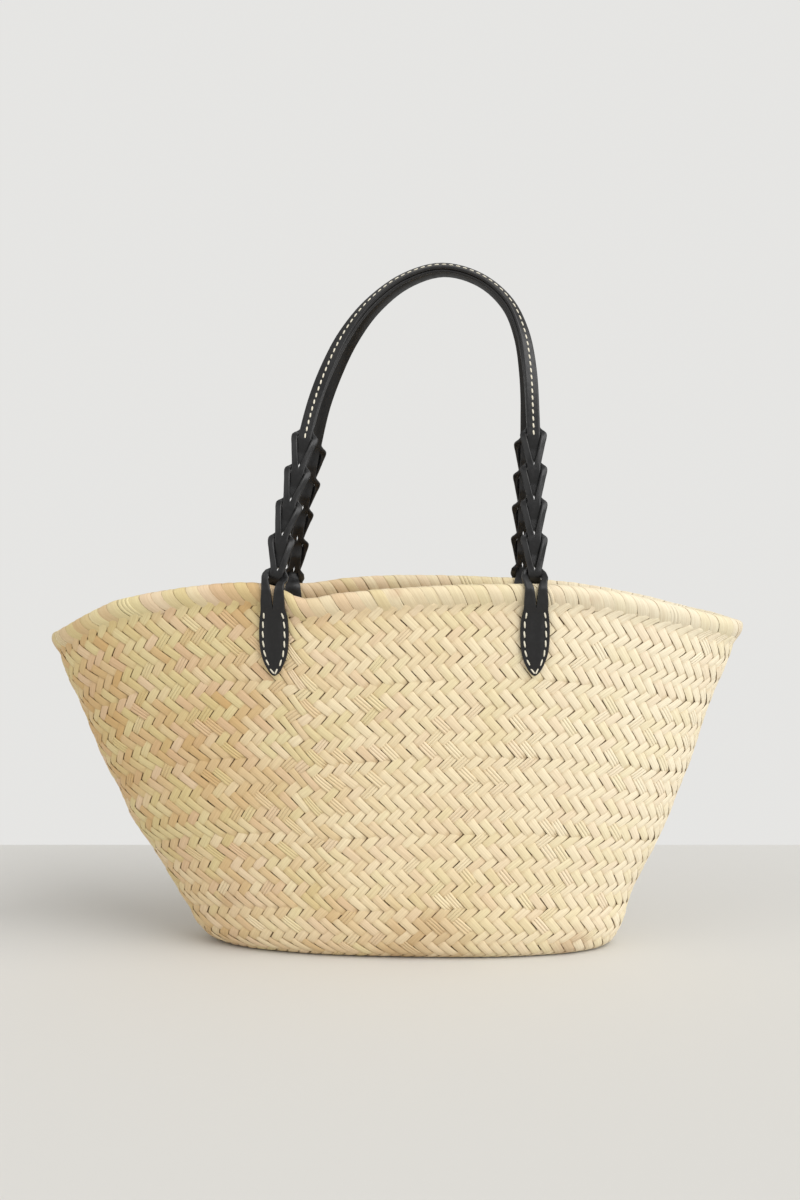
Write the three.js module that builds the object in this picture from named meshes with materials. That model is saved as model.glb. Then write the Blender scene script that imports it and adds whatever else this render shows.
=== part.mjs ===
// Straw basket bag with two braided leather handles.
// Millimetres, +Z up, +X to the right, -Y to the front, origin under the middle of the base.
import * as THREE from 'three';

// Basket
const MOUTH_WIDTH = 526;
const MOUTH_DEPTH = 180;
const MOUTH_HEIGHT = 279;
const WALL = 3;
const BASE_THICKNESS = 3.6;
const OVAL_POWER = 2.25;
const BASE_TURN = THREE.MathUtils.degToRad(-3.5);
const AROUND = 72;
const TOP_RING_RISE = 0.9;

// Wrapped roll on the top edge
const ROLL_THICKNESS = 10.4;
const ROLL_HEIGHT = 14;
const ROLL_ABOVE_WALL = 3;
const CLEARANCE = 0.3;
const TAB_CLEARANCE = 0.45;
const LAYER_GAP = 0.4;

// Handles
const STRIP_WIDTH = 9.7;
const STRIP_THICKNESS = 2.4;
const HANDLE_DROP = 235;
const FOOT_SPACING = 186;
const FRONT_FOOT_SHIFT = 5.2;
const BACK_FOOT_SHIFT = 8;
const APEX_DEPTH = 11.5;
const LEAN_POWER = 1.2;
const FACING_RISE = 0.3;
const APEX_ROLL = THREE.MathUtils.degToRad(66);
const BRAID_PITCH = 26;
const TAB_WIDTH = 21.5;
const TAB_LENGTH = 48.6;
const INSIDE_TAB_WIDTH = 18.6;
const SLIT_END_BELOW_TOP = 16.8;

// Wall sections from base to mouth.
// rise: share of the wall's height; width, depth: shares of the mouth's; shift: share of the half width
const WALL_SECTIONS = [
  { rise: 0, width: 0.573, depth: 0.625, shift: 0.038 },
  { rise: 0.008, width: 0.586, depth: 0.652, shift: 0.04 },
  { rise: 0.024, width: 0.604, depth: 0.69, shift: 0.036 },
  { rise: 0.06, width: 0.63, depth: 0.735, shift: 0.03 },
  { rise: 0.1, width: 0.645, depth: 0.763, shift: 0.028 },
  { rise: 0.16, width: 0.669, depth: 0.785, shift: 0.019 },
  { rise: 0.21, width: 0.692, depth: 0.801, shift: 0.017 },
  { rise: 0.306, width: 0.741, depth: 0.828, shift: 0.014 },
  { rise: 0.402, width: 0.791, depth: 0.856, shift: 0.005 },
  { rise: 0.498, width: 0.826, depth: 0.883, shift: 0.004 },
  { rise: 0.594, width: 0.866, depth: 0.911, shift: -0.001 },
  { rise: 0.69, width: 0.897, depth: 0.938, shift: -0.004 },
  { rise: 0.787, width: 0.93, depth: 0.963, shift: -0.004 },
  { rise: 0.882, width: 0.969, depth: 0.984, shift: -0.004 },
  { rise: 1, width: 1, depth: 1, shift: 0 },
];

// Height of the mouth as a share of MOUTH_HEIGHT: it sags at both ends and dips beside the left handle.
// along: share of the half width
const MOUTH_LINE = [
  { along: -1, front: 0.853, back: 0.853 },
  { along: -0.95, front: 0.876, back: 0.876 },
  { along: -0.88, front: 0.914, back: 0.908 },
  { along: -0.78, front: 0.956, back: 0.94 },
  { along: -0.54, front: 0.996, back: 0.962 },
  { along: -0.36, front: 1, back: 0.968 },
  { along: -0.26, front: 0.963, back: 0.971 },
  { along: -0.16, front: 0.976, back: 0.984 },
  { along: 0, front: 0.989, back: 0.992 },
  { along: 0.2, front: 0.998, back: 0.99 },
  { along: 0.42, front: 0.998, back: 0.981 },
  { along: 0.57, front: 0.985, back: 0.968 },
  { along: 0.75, front: 0.949, back: 0.938 },
  { along: 0.88, front: 0.918, back: 0.908 },
  { along: 0.95, front: 0.901, back: 0.895 },
  { along: 1, front: 0.884, back: 0.884 },
];

// Route of a handle from its left foot over the top to its right foot.
// along: share of half the foot spacing; rise: share of HANDLE_DROP above the mouth
const HANDLE_ROUTE = [
  { along: -0.97, rise: 0.06 },
  { along: -0.945, rise: 0.15 },
  { along: -0.885, rise: 0.26 },
  { along: -0.825, rise: 0.36 },
  { along: -0.775, rise: 0.46 },
  { along: -0.7, rise: 0.575 },
  { along: -0.6, rise: 0.68 },
  { along: -0.465, rise: 0.785 },
  { along: -0.27, rise: 0.885 },
  { along: 0, rise: 0.966 },
  { along: 0.3, rise: 1 },
  { along: 0.6, rise: 0.968 },
  { along: 0.82, rise: 0.893 },
  { along: 0.93, rise: 0.8 },
  { along: 0.985, rise: 0.68 },
  { along: 1.005, rise: 0.52 },
  { along: 1.005, rise: 0.36 },
  { along: 1, rise: 0.2 },
  { along: 0.998, rise: 0.07 },
];

// Half width of a tab from the end of the slit to its tip.
// down: share of TAB_LENGTH; half: share of half the tab's width
const TAB_OUTLINE = [
  { down: 0, half: 0.82 },
  { down: 0.16, half: 0.95 },
  { down: 0.34, half: 1 },
  { down: 0.52, half: 0.98 },
  { down: 0.68, half: 0.88 },
  { down: 0.82, half: 0.67 },
  { down: 0.93, half: 0.38 },
  { down: 1, half: 0.08 },
];

// How far a strip's middle stands off the wall's middle as it comes down over the roll.
// down: share of ROLL_HEIGHT below the roll's top; roll, wall: shares of the stand-off over each
const OVER_ROLL = [
  { down: -0.65, roll: -0.2, wall: 0 },
  { down: -0.54, roll: -0.15, wall: 0 },
  { down: -0.36, roll: 0.12, wall: 0 },
  { down: -0.2, roll: 0.42, wall: 0 },
  { down: 0, roll: 0.8, wall: 0 },
  { down: 0.14, roll: 1.02, wall: 0 },
  { down: 0.3, roll: 1.07, wall: 0 },
  { down: 0.8, roll: 1.07, wall: 0 },
  { down: 0.95, roll: 1.05, wall: 0 },
  { down: 1.15, roll: 0.92, wall: 0.1 },
  { down: 1.4, roll: 0.5, wall: 0.5 },
  { down: 1.8, roll: 0, wall: 1 },
];

// One strip of the braid over two pitches, counted down from the point of a V.
// depth: 1 in front, -1 behind; spread: 0 whole, 1 open wide enough for the other strip's stem
const BRAID_CYCLE = [
  { phase: 0, depth: 1, spread: 0 },
  { phase: 0.4, depth: 1, spread: 0 },
  { phase: 0.667, depth: -1, spread: 0 },
  { phase: 1, depth: -1, spread: 1 },
  { phase: 1.3, depth: 1, spread: 1 },
  { phase: 1.667, depth: 1, spread: 1 },
  { phase: 1.84, depth: 1, spread: 0.55 },
  { phase: 2, depth: 1, spread: 0 },
];

// Arms of the tab strip from the end of its slit up to the first V.
// up: share of BRAID_PITCH; gap: share of an open slit; arm: 1 the tab's width, 0 the strip's
const TAB_ARMS = [
  { up: 0, gap: 0, arm: 1 },
  { up: 0.22, gap: 0.1, arm: 0.85 },
  { up: 0.43, gap: 0.2, arm: 0.6 },
  { up: 0.6, gap: 0.32, arm: 0.4 },
  { up: 0.7, gap: 0.58, arm: 0.18 },
  { up: 0.8, gap: 1, arm: 0 },
  { up: 1, gap: 1, arm: 0 },
];
const BRAID_STEPS = [0, 0.16, 0.3, 0.4, 0.53, 0.667, 0.84];
const BRAID_VS = 4;
const ARCH_STEPS = 30;
const BRAID_TOP_RISE = 0.5;
const FOOT_STEPS = [-0.1, 0, 0.25, 0.5, 0.75, 1];

// Fineness of the model
const NORMAL_STEP = 0.01;
const ANGLE_HALVINGS = 40;
const CURVE_DIVISIONS = 1500;
const TAB_ROWS_BELOW_ROLL = 0.25;
const STATION_GAP = 0.7;
const ROUNDING = 0.01;
const SHUT_SLIT = 0.02;

const straw = new THREE.MeshStandardMaterial({ color: 0xdcc48f, roughness: 0.62, metalness: 0 });
const rimStraw = new THREE.MeshStandardMaterial({ color: 0xd9bd7c, roughness: 0.58, metalness: 0 });
const leather = new THREE.MeshStandardMaterial({ color: 0x17130f, roughness: 0.38, metalness: 0 });

// Straight interpolation in a table with an ascending key column.
function linear(table, key, column, at) {
  if (at <= table[0][key]) {
    return table[0][column];
  }
  const next = table.findIndex((row) => row[key] >= at);
  if (next < 0) {
    return table[table.length - 1][column];
  }
  const low = table[next - 1];
  const high = table[next];
  const share = (at - low[key]) / (high[key] - low[key]);
  return low[column] + (high[column] - low[column]) * share;
}

// Smooth interpolation through the rows of a table: a cubic with the rows' mean slopes.
function smooth(table, key, column, at) {
  const last = table.length - 1;
  const x = THREE.MathUtils.clamp(at, table[0][key], table[last][key]);
  let row = 0;
  while (row < last - 1 && table[row + 1][key] < x) {
    row += 1;
  }
  const slope = (i) => {
    const low = table[Math.max(i - 1, 0)];
    const high = table[Math.min(i + 1, last)];
    return (high[column] - low[column]) / (high[key] - low[key]);
  };
  const span = table[row + 1][key] - table[row][key];
  const t = (x - table[row][key]) / span;
  const rest = 1 - t;
  return table[row][column] * (1 + 2 * t) * rest * rest
    + slope(row) * span * t * rest * rest
    + table[row + 1][column] * (3 - 2 * t) * t * t
    - slope(row + 1) * span * t * t * rest;
}

const WALL_HALF_WIDTH = MOUTH_WIDTH / 2 - (ROLL_THICKNESS - WALL) / 2;
const WALL_HALF_DEPTH = MOUTH_DEPTH / 2 - (ROLL_THICKNESS - WALL) / 2;

// Height of the wall's top edge at a share of the half width.
function wallTop(along, front) {
  const line = smooth(MOUTH_LINE, 'along', front ? 'front' : 'back', along);
  return MOUTH_HEIGHT * line - ROLL_ABOVE_WALL;
}

// Outer surface of the wall at an angle round the oval (0 at +X) and a rise from 0 to 1.
function outerPoint(angle, rise) {
  const c = Math.cos(angle);
  const s = Math.sin(angle);
  const along = Math.sign(c) * Math.abs(c) ** (2 / OVAL_POWER);
  const across = Math.sign(s) * Math.abs(s) ** (2 / OVAL_POWER);
  const blend = Math.abs(s);
  const front = wallTop(along, true);
  const back = wallTop(along, false);
  const side = s < 0 ? 1 : 0;
  const top = THREE.MathUtils.lerp((front + back) / 2, side * front + (1 - side) * back, blend);
  const x = smooth(WALL_SECTIONS, 'rise', 'width', rise) * WALL_HALF_WIDTH * along;
  const y = smooth(WALL_SECTIONS, 'rise', 'depth', rise) * WALL_HALF_DEPTH * across;
  const turn = BASE_TURN * (1 - rise);
  const shift = smooth(WALL_SECTIONS, 'rise', 'shift', rise) * WALL_HALF_WIDTH;
  return new THREE.Vector3(
    shift + x * Math.cos(turn) - y * Math.sin(turn),
    x * Math.sin(turn) + y * Math.cos(turn),
    top * rise,
  );
}

// Outward normal of the wall, by differences.
function outerNormal(angle, rise) {
  const low = Math.max(rise - NORMAL_STEP, 0);
  const high = Math.min(rise + NORMAL_STEP, 1);
  const round = outerPoint(angle + NORMAL_STEP, rise).sub(outerPoint(angle - NORMAL_STEP, rise));
  const up = outerPoint(angle, high).sub(outerPoint(angle, low));
  return round.cross(up).normalize();
}

function innerPoint(angle, rise) {
  const point = outerPoint(angle, rise).addScaledVector(outerNormal(angle, rise), -WALL);
  point.z = Math.max(point.z, BASE_THICKNESS);
  return point;
}

// Closed body from rings of points that run from one pole to the other, fans at both ends.
function ringsBody(rings, firstPole, lastPole) {
  const vertices = [firstPole, ...rings.flat(), lastPole];
  const count = rings[0].length;
  const index = [];
  const at = (ring, i) => 1 + ring * count + (i % count);
  for (let i = 0; i < count; i += 1) {
    index.push(0, at(0, i + 1), at(0, i));
    for (let ring = 0; ring < rings.length - 1; ring += 1) {
      index.push(at(ring, i), at(ring, i + 1), at(ring + 1, i + 1));
      index.push(at(ring, i), at(ring + 1, i + 1), at(ring + 1, i));
    }
    index.push(vertices.length - 1, at(rings.length - 1, i), at(rings.length - 1, i + 1));
  }
  return indexed(vertices, index);
}

function indexed(vertices, index) {
  const geometry = new THREE.BufferGeometry();
  geometry.setAttribute(
    'position',
    new THREE.Float32BufferAttribute(vertices.flatMap((p) => [p.x, p.y, p.z]), 3),
  );
  geometry.setIndex(index);
  geometry.computeVertexNormals();
  return geometry;
}

function angles() {
  return Array.from({ length: AROUND }, (_, i) => (i / AROUND) * 2 * Math.PI);
}

// The plaited basket: wall and oval base in one, open at the top.
function basketGeometry() {
  const outerRises = [0, 0.01, 0.03, 0.065, 0.11, 0.19, 0.32, 0.46, 0.6, 0.75, TOP_RING_RISE, 1];
  const innerRises = [1, TOP_RING_RISE, 0.74, 0.56, 0.38, 0.22, 0.11, 0.05];
  const rings = [
    ...outerRises.map((rise) => angles().map((angle) => outerPoint(angle, rise))),
    ...innerRises.map((rise) => angles().map((angle) => innerPoint(angle, rise))),
  ];
  const shift = WALL_SECTIONS[0].shift * WALL_HALF_WIDTH;
  const under = new THREE.Vector3(shift, 0, 0);
  const floor = new THREE.Vector3(shift, 0, BASE_THICKNESS);
  const floorRing = angles().map((angle) => {
    const point = outerPoint(angle, 0);
    point.lerp(under, 2 * WALL / WALL_HALF_DEPTH);
    point.z = BASE_THICKNESS;
    return point;
  });
  return ringsBody([...rings, floorRing], under, floor);
}

// Middle of the wall's top edge, with the directions out of the wall, up along it and round it.
function rimFrame(angle) {
  const out = outerNormal(angle, 1);
  const middle = outerPoint(angle, 1).addScaledVector(out, -WALL / 2);
  const up = outerPoint(angle, 1).sub(outerPoint(angle, TOP_RING_RISE)).normalize();
  up.addScaledVector(out, -up.dot(out)).normalize();
  return { middle, out, up };
}

// The wrapped roll: a saddle over the wall's top edge, swept round the mouth.
function rimGeometry() {
  const half = ROLL_THICKNESS / 2;
  const top = ROLL_ABOVE_WALL;
  const bottom = ROLL_ABOVE_WALL - ROLL_HEIGHT;
  const slot = WALL / 2 + CLEARANCE;
  const section = [
    [slot + CLEARANCE, bottom],
    [0.72 * half, bottom],
    [0.96 * half, bottom + 0.2 * ROLL_HEIGHT],
    [half, bottom + 0.55 * ROLL_HEIGHT],
    [0.82 * half, top - 0.13 * ROLL_HEIGHT],
    [0.4 * half, top],
    [-0.4 * half, top],
    [-0.82 * half, top - 0.13 * ROLL_HEIGHT],
    [-half, bottom + 0.55 * ROLL_HEIGHT],
    [-0.96 * half, bottom + 0.2 * ROLL_HEIGHT],
    [-0.72 * half, bottom],
    [-slot - CLEARANCE, bottom],
    [-slot, CLEARANCE],
    [slot, CLEARANCE],
  ];
  const vertices = [];
  const index = [];
  const sides = section.length;
  angles().forEach((angle, i) => {
    const { middle, out, up } = rimFrame(angle);
    section.forEach(([o, h], j) => {
      vertices.push(middle.clone().addScaledVector(out, o).addScaledVector(up, h));
      const next = ((i + 1) % AROUND) * sides;
      const a = i * sides + j;
      const b = i * sides + ((j + 1) % sides);
      const c = next + j;
      const d = next + ((j + 1) % sides);
      index.push(a, c, d, a, d, b);
    });
  });
  return indexed(vertices, index);
}

// Angle round the oval where the front (side -1) or back (side 1) wall stands at a given x and rise.
function wallAngle(x, rise, side) {
  let left = side * Math.PI;
  let right = 0;
  for (let i = 0; i < ANGLE_HALVINGS; i += 1) {
    const middle = (left + right) / 2;
    if (outerPoint(middle, rise).x < x) {
      left = middle;
    } else {
      right = middle;
    }
  }
  return (left + right) / 2;
}

const SLIT_END = ROLL_ABOVE_WALL - SLIT_END_BELOW_TOP;

// Middle of one wall at a given x, some height below its top edge.
function wallMiddle(x, below, side) {
  const top = outerPoint(wallAngle(x, 1, side), 1).z;
  const rise = Math.min(1 - below / top, 1);
  const angle = wallAngle(x, rise, side);
  const middle = outerPoint(angle, rise).addScaledVector(outerNormal(angle, rise), -WALL / 2);
  middle.z += Math.max(-below, 0);
  return middle;
}

// A handle's two feet: points down the wall under each tab, and the wall's facing there.
function handleFeet(side) {
  const heights = FOOT_STEPS.map((share) => share * (TAB_LENGTH - SLIT_END));
  const shift = side < 0 ? FRONT_FOOT_SHIFT : BACK_FOOT_SHIFT;
  return [shift - FOOT_SPACING / 2, shift + FOOT_SPACING / 2].map((x) => ({
    points: heights.map((below) => wallMiddle(x, below, side)),
    out: outerNormal(wallAngle(x, TOP_RING_RISE, side), TOP_RING_RISE),
  }));
}

// Middle line of a handle, from the tip of the left tab to the tip of the right tab.
function handleLine(feet, side) {
  const [left, right] = feet.map(({ points }) => points);
  const footDepth = (left[0].y + right[0].y) / 2;
  const middle = (left[0].x + right[0].x) / 2;
  const route = HANDLE_ROUTE.map(({ along, rise }) => new THREE.Vector3(
    middle + along * FOOT_SPACING / 2,
    footDepth + (side * APEX_DEPTH - footDepth) * rise ** LEAN_POWER,
    MOUTH_HEIGHT - ROLL_ABOVE_WALL + HANDLE_DROP * rise,
  ));
  const curve = new THREE.CatmullRomCurve3([...left.reverse(), ...route, ...right], false, 'centripetal');
  curve.arcLengthDivisions = CURVE_DIVISIONS;
  return curve;
}

// Stations along a handle of a given length, measured from the left tab's tip.
function stationList(length) {
  const tab = TAB_OUTLINE.filter(({ down }) => down === 0 || down > TAB_ROWS_BELOW_ROLL)
    .map(({ down }) => -TAB_LENGTH * down);
  const roll = OVER_ROLL.map(({ down }) => SLIT_END_BELOW_TOP - ROLL_HEIGHT * down);
  const braidTop = (BRAID_VS + 2 - BRAID_CYCLE[2].phase) * BRAID_PITCH;
  const braid = [];
  for (let pitch = 1; pitch < BRAID_VS + 2; pitch += 1) {
    braid.push(...BRAID_STEPS.map((step) => (pitch + 1 - step) * BRAID_PITCH));
  }
  braid.push(BRAID_PITCH);
  const leg = [...tab, ...roll, ...braid.filter((above) => above <= braidTop + ROUNDING)]
    .sort((a, b) => a - b)
    .filter((above, i, all) => i === 0 || above - all[i - 1] > STATION_GAP)
    .map((above) => above + TAB_LENGTH);
  const start = leg[leg.length - 1];
  const arch = length - 2 * start;
  const middle = Array.from({ length: ARCH_STEPS - 1 }, (_, i) => start + (arch * (i + 1)) / ARCH_STEPS);
  return [...leg, ...middle, ...leg.map((d) => length - d).reverse()];
}

// Where a strip lies at a height above the slit's end: depth of the layer, open slit and half width.
// order 0 is the tab strip, 1 the strip that ends inside the basket.
function stripState(above, order) {
  const layer = (STRIP_THICKNESS + LAYER_GAP) / 2;
  const half = STRIP_WIDTH / 2;
  const topV = order === 0 ? BRAID_VS : BRAID_VS - 1;
  const opens = (topV + 2 - BRAID_CYCLE[2].phase) * BRAID_PITCH;
  const closedTop = order === 0 ? opens : (topV + 2 - BRAID_CYCLE[1].phase) * BRAID_PITCH;
  const overRoll = ROLL_THICKNESS / 2 + STRIP_THICKNESS / 2 + CLEARANCE;
  const onWall = WALL / 2 + STRIP_THICKNESS / 2 + TAB_CLEARANCE;
  const sign = order === 0 ? 1 : -1;
  const rollDown = (SLIT_END_BELOW_TOP - above) / ROLL_HEIGHT;
  if (above >= closedTop) {
    return { lift: order === 0 ? -layer : layer, inner: 0, half };
  }
  if (rollDown > OVER_ROLL[0].down) {
    const lift = overRoll * linear(OVER_ROLL, 'down', 'roll', rollDown)
      + onWall * linear(OVER_ROLL, 'down', 'wall', rollDown);
    return { lift: sign * lift, ...footWidths(above, order) };
  }
  const phase = ((order === 0 ? 2 : 1) - above / BRAID_PITCH % 2 + 4) % 2;
  const spread = smooth(BRAID_CYCLE, 'phase', 'spread', phase);
  const inner = shut(THREE.MathUtils.clamp(spread, 0, 1) * (half + CLEARANCE));
  return {
    lift: layer * linear(BRAID_CYCLE, 'phase', 'depth', phase),
    inner,
    half: inner + half,
  };
}

// Widths of a strip on its way over the roll and down its tab.
function footWidths(above, order) {
  const half = STRIP_WIDTH / 2;
  const tabHalf = (order === 0 ? TAB_WIDTH : INSIDE_TAB_WIDTH) / 2;
  if (above <= 0) {
    return { inner: 0, half: tabHalf * smooth(TAB_OUTLINE, 'down', 'half', -above / TAB_LENGTH) };
  }
  const up = above / BRAID_PITCH;
  const root = tabHalf * TAB_OUTLINE[0].half;
  const arm = THREE.MathUtils.lerp(half, root, linear(TAB_ARMS, 'up', 'arm', up));
  const inner = order === 0 ? shut(linear(TAB_ARMS, 'up', 'gap', up) * (half + CLEARANCE)) : 0;
  return { inner, half: inner + arm };
}

// A slit narrower than a hair is shut.
function shut(gap) {
  return gap < SHUT_SLIT ? 0 : gap;
}

// One leather strip of a handle, slit where its partner passes through.
function stripGeometry(order, side) {
  const feet = handleFeet(side);
  const curve = handleLine(feet, side);
  const length = curve.getLength();
  const apex = MOUTH_HEIGHT - ROLL_ABOVE_WALL + HANDLE_DROP;
  const stations = stationList(length).map((d) => {
    const point = curve.getPointAt(d / length);
    const tangent = curve.getTangentAt(d / length);
    const above = Math.min(d, length - d) - TAB_LENGTH;
    const rise = (point.z - MOUTH_HEIGHT) / (apex - MOUTH_HEIGHT);
    const turn = APEX_ROLL * THREE.MathUtils.smoothstep(rise, BRAID_TOP_RISE, 1);
    const foot = feet[d < length / 2 ? 0 : 1];
    const facing = THREE.MathUtils.smoothstep(rise, 0, FACING_RISE);
    const front = foot.out.clone().lerp(new THREE.Vector3(0, side, 0), facing);
    front.addScaledVector(tangent, -front.dot(tangent)).normalize();
    const upward = new THREE.Vector3().crossVectors(tangent, front).multiplyScalar(side);
    const normal = front.multiplyScalar(Math.cos(turn)).addScaledVector(upward, Math.sin(turn));
    const state = stripState(above, order);
    return { ...state, point: point.addScaledVector(normal, state.lift), normal };
  });
  const vertices = [];
  const sections = stations.map((station, i) => {
    const before = stations[Math.max(i - 1, 0)].point;
    const after = stations[Math.min(i + 1, stations.length - 1)].point;
    const tangent = after.clone().sub(before).normalize();
    const normal = station.normal.clone().addScaledVector(tangent, -station.normal.dot(tangent)).normalize();
    const across = new THREE.Vector3().crossVectors(tangent, normal);
    const layer = (face) => {
      const add = (x) => vertices.push(
        station.point.clone().addScaledVector(across, x).addScaledVector(normal, face * STRIP_THICKNESS / 2),
      ) - 1;
      const left = add(-station.half);
      const innerLeft = add(-station.inner);
      const innerRight = station.inner > 0 ? add(station.inner) : innerLeft;
      return [left, innerLeft, innerRight, add(station.half)];
    };
    return { front: layer(1), back: layer(-1), open: station.inner > 0 };
  });
  const index = [];
  const quad = (a, b, c, d) => index.push(a, b, c, a, c, d);
  sections.slice(1).forEach((high, i) => {
    const low = sections[i];
    for (const [j, k] of [[0, 1], [2, 3]]) {
      quad(low.front[j], low.front[k], high.front[k], high.front[j]);
      quad(low.back[k], low.back[j], high.back[j], high.back[k]);
    }
    quad(low.back[0], low.front[0], high.front[0], high.back[0]);
    quad(low.front[3], low.back[3], high.back[3], high.front[3]);
    if (low.open || high.open) {
      quad(low.front[1], low.back[1], high.back[1], high.front[1]);
      quad(low.back[2], low.front[2], high.front[2], high.back[2]);
    }
  });
  const first = sections[0];
  const last = sections[sections.length - 1];
  quad(first.back[0], first.back[1], first.front[1], first.front[0]);
  quad(first.back[2], first.back[3], first.front[3], first.front[2]);
  quad(last.front[0], last.front[1], last.back[1], last.back[0]);
  quad(last.front[2], last.front[3], last.back[3], last.back[2]);
  return indexed(vertices, index);
}

function piece(name, geometry, material) {
  const mesh = new THREE.Mesh(geometry, material);
  mesh.name = name;
  return mesh;
}

const group = new THREE.Group();
group.add(piece('basket', basketGeometry(), straw));
group.add(piece('rim_binding', rimGeometry(), rimStraw));
group.add(piece('front_tab_strip', stripGeometry(0, -1), leather));
group.add(piece('front_inside_strip', stripGeometry(1, -1), leather));
group.add(piece('back_tab_strip', stripGeometry(0, 1), leather));
group.add(piece('back_inside_strip', stripGeometry(1, 1), leather));

export default group;
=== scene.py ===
"""Straw basket bag: the looks of the plaited palm basket and of its braided leather handles.

The basket is a thin core wall covered with slanted pads of palm leaf in a herringbone plait, a
wrapped roll on its rim, and two handles of slit leather strips that end in stitched tabs.
Metres, +Z up, +X to the right, -Y to the front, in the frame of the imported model.
"""

import math

import bpy
import bmesh
import numpy as np
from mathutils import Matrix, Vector


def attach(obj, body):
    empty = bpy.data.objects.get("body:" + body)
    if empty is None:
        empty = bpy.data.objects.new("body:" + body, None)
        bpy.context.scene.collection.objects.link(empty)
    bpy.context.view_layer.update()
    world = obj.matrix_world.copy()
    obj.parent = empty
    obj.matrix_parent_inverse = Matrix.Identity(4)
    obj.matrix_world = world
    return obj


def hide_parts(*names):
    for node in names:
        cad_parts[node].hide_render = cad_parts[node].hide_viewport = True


bl_info = {
    "name": "Straw basket bag",
    "version": (1, 0, 0),
    "blender": (4, 5, 0),
    "location": "View3D > Sidebar > Basket bag",
    "description": "Plaited palm basket with braided leather handles, built round its frame",
    "category": "Add Mesh",
}

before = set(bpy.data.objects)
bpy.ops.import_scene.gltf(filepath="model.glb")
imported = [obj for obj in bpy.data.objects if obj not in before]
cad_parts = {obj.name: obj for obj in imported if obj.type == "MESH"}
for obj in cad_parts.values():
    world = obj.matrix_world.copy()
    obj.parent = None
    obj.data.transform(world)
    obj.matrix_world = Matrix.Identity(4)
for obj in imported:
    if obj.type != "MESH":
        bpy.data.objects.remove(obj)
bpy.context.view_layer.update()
BODY = "root"
MM = 0.001

# Basket and roll, as the frame was made
MOUTH_WIDTH = 526 * MM
MOUTH_DEPTH = 180 * MM
MOUTH_HEIGHT = 279 * MM
WALL = 3 * MM
BASE_THICKNESS = 3.6 * MM
ROLL_THICKNESS = 10.4 * MM
ROLL_HEIGHT = 14 * MM
ROLL_ABOVE_WALL = 3 * MM
ROLL_CLEARANCE = 0.3 * MM
OVAL_POWER = 2.25
BASE_TURN = math.radians(-3.5)
TOP_RING_RISE = 0.9
WALL_HALF_WIDTH = (MOUTH_WIDTH - ROLL_THICKNESS + WALL) / 2
WALL_HALF_DEPTH = (MOUTH_DEPTH - ROLL_THICKNESS + WALL) / 2

# Handles, as the frame was made
STRIP_WIDTH = 9.7 * MM
STRIP_THICKNESS = 2.4 * MM
LAYER_GAP = 0.15 * MM
SLIT_CLEARANCE = 0.3 * MM
HANDLE_DROP = 235 * MM
FOOT_SPACING = 186 * MM
FOOT_SHIFT = {-1: 5.2 * MM, 1: 8 * MM}
APEX_DEPTH = 11.5 * MM
LEAN_POWER = 1.2
FACING_RISE = 0.3
APEX_ROLL = math.radians(66)
BRAID_PITCH = 26 * MM
BRAID_VS = 4
BRAID_TOP_RISE = 0.5
STITCH_START = 0.9
STITCH_TOP = 0.08
TAB_WIDTHS = (21.5 * MM, 18.6 * MM)
TAB_LENGTH = 48.6 * MM
TAB_SEAT = 0.45 * MM
SLIT_END_BELOW_TOP = 16.8 * MM
EDGE_ROUND = 0.75 * MM

# A pad's length in widths of the strips that cross it: two over it and its tucked ends
PAD_REACH = 2.75

# Small differences between pads, and the scales of the noises that move rows and gather split pads
PAD_SHIFT = 0.16 * MM
PAD_TURN = math.radians(1.8)
PAD_LIFT = 0.12 * MM
WRAP_SHIFT = 0.3 * MM
WRAP_TURN = math.radians(1.5)
WRAP_LIFT = 0.15 * MM
WANDER_SCALE = 3.0
WANDER_REACH = 4.0
SPLIT_PATCH_SCALE = 6.0

# Thin pads inside and under the basket, and the cells of the pads and wraps, along and across a strand
THIN_PAD = 0.2 * MM
THIN_CROWN = 0.3 * MM
PAD_CELLS = (7, 6)
SPLIT_CELLS = (7, 2)
THIN_CELLS = (5, 2)
WRAP_CELLS = (28, 6)
SPLIT_WRAP_CELLS = (28, 2)
STRANDS = 3
WRAP_WAIST = 0.9

# Grids that the pads are laid on, and the core under them
WALL_COLUMNS, WALL_STEPS = 360, 140
UNDER_MARGIN = 14 * MM
BASE_INSET = 12.5 * MM
CORE_COLUMNS = 144
OUTER_RISES = (0, 0.01, 0.03, 0.065, 0.11, 0.19, 0.32, 0.46, 0.6, 0.75, 0.9, 0.985)
INNER_RISES = (0.985, 0.9, 0.74, 0.56, 0.38, 0.22, 0.11, 0.05, 0.02, 0.008)
LINING_RISES = (0.02, 0.05, 0.1, 0.2, 0.3, 0.4, 0.5, 0.6, 0.7, 0.8, 0.9, 0.97, 1)
LINING_COLUMNS = 240
CORE_ROLL_COLUMNS = 288

# How deep the cores lie: at the foot and inside in skin depths, and under the wraps
FOOT_SKIN = 2.2
INSIDE_SKIN = 0.85
ROLL_SKIN = 0.9 * MM

# Red-brown stains: centre, radius, strength
WALL_STAINS = (
    ((0.02, -0.06, 0.008), 0.045, 0.28),
    ((-0.125, -0.05, 0.045), 0.018, 0.3),
    ((0.13, -0.05, 0.008), 0.02, 0.3),
)
RIM_STAINS = (
    ((0.1415, -0.078, 0.268), 0.0048, 0.6),
    ((-0.002, -0.09, 0.274), 0.006, 0.3),
)

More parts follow.
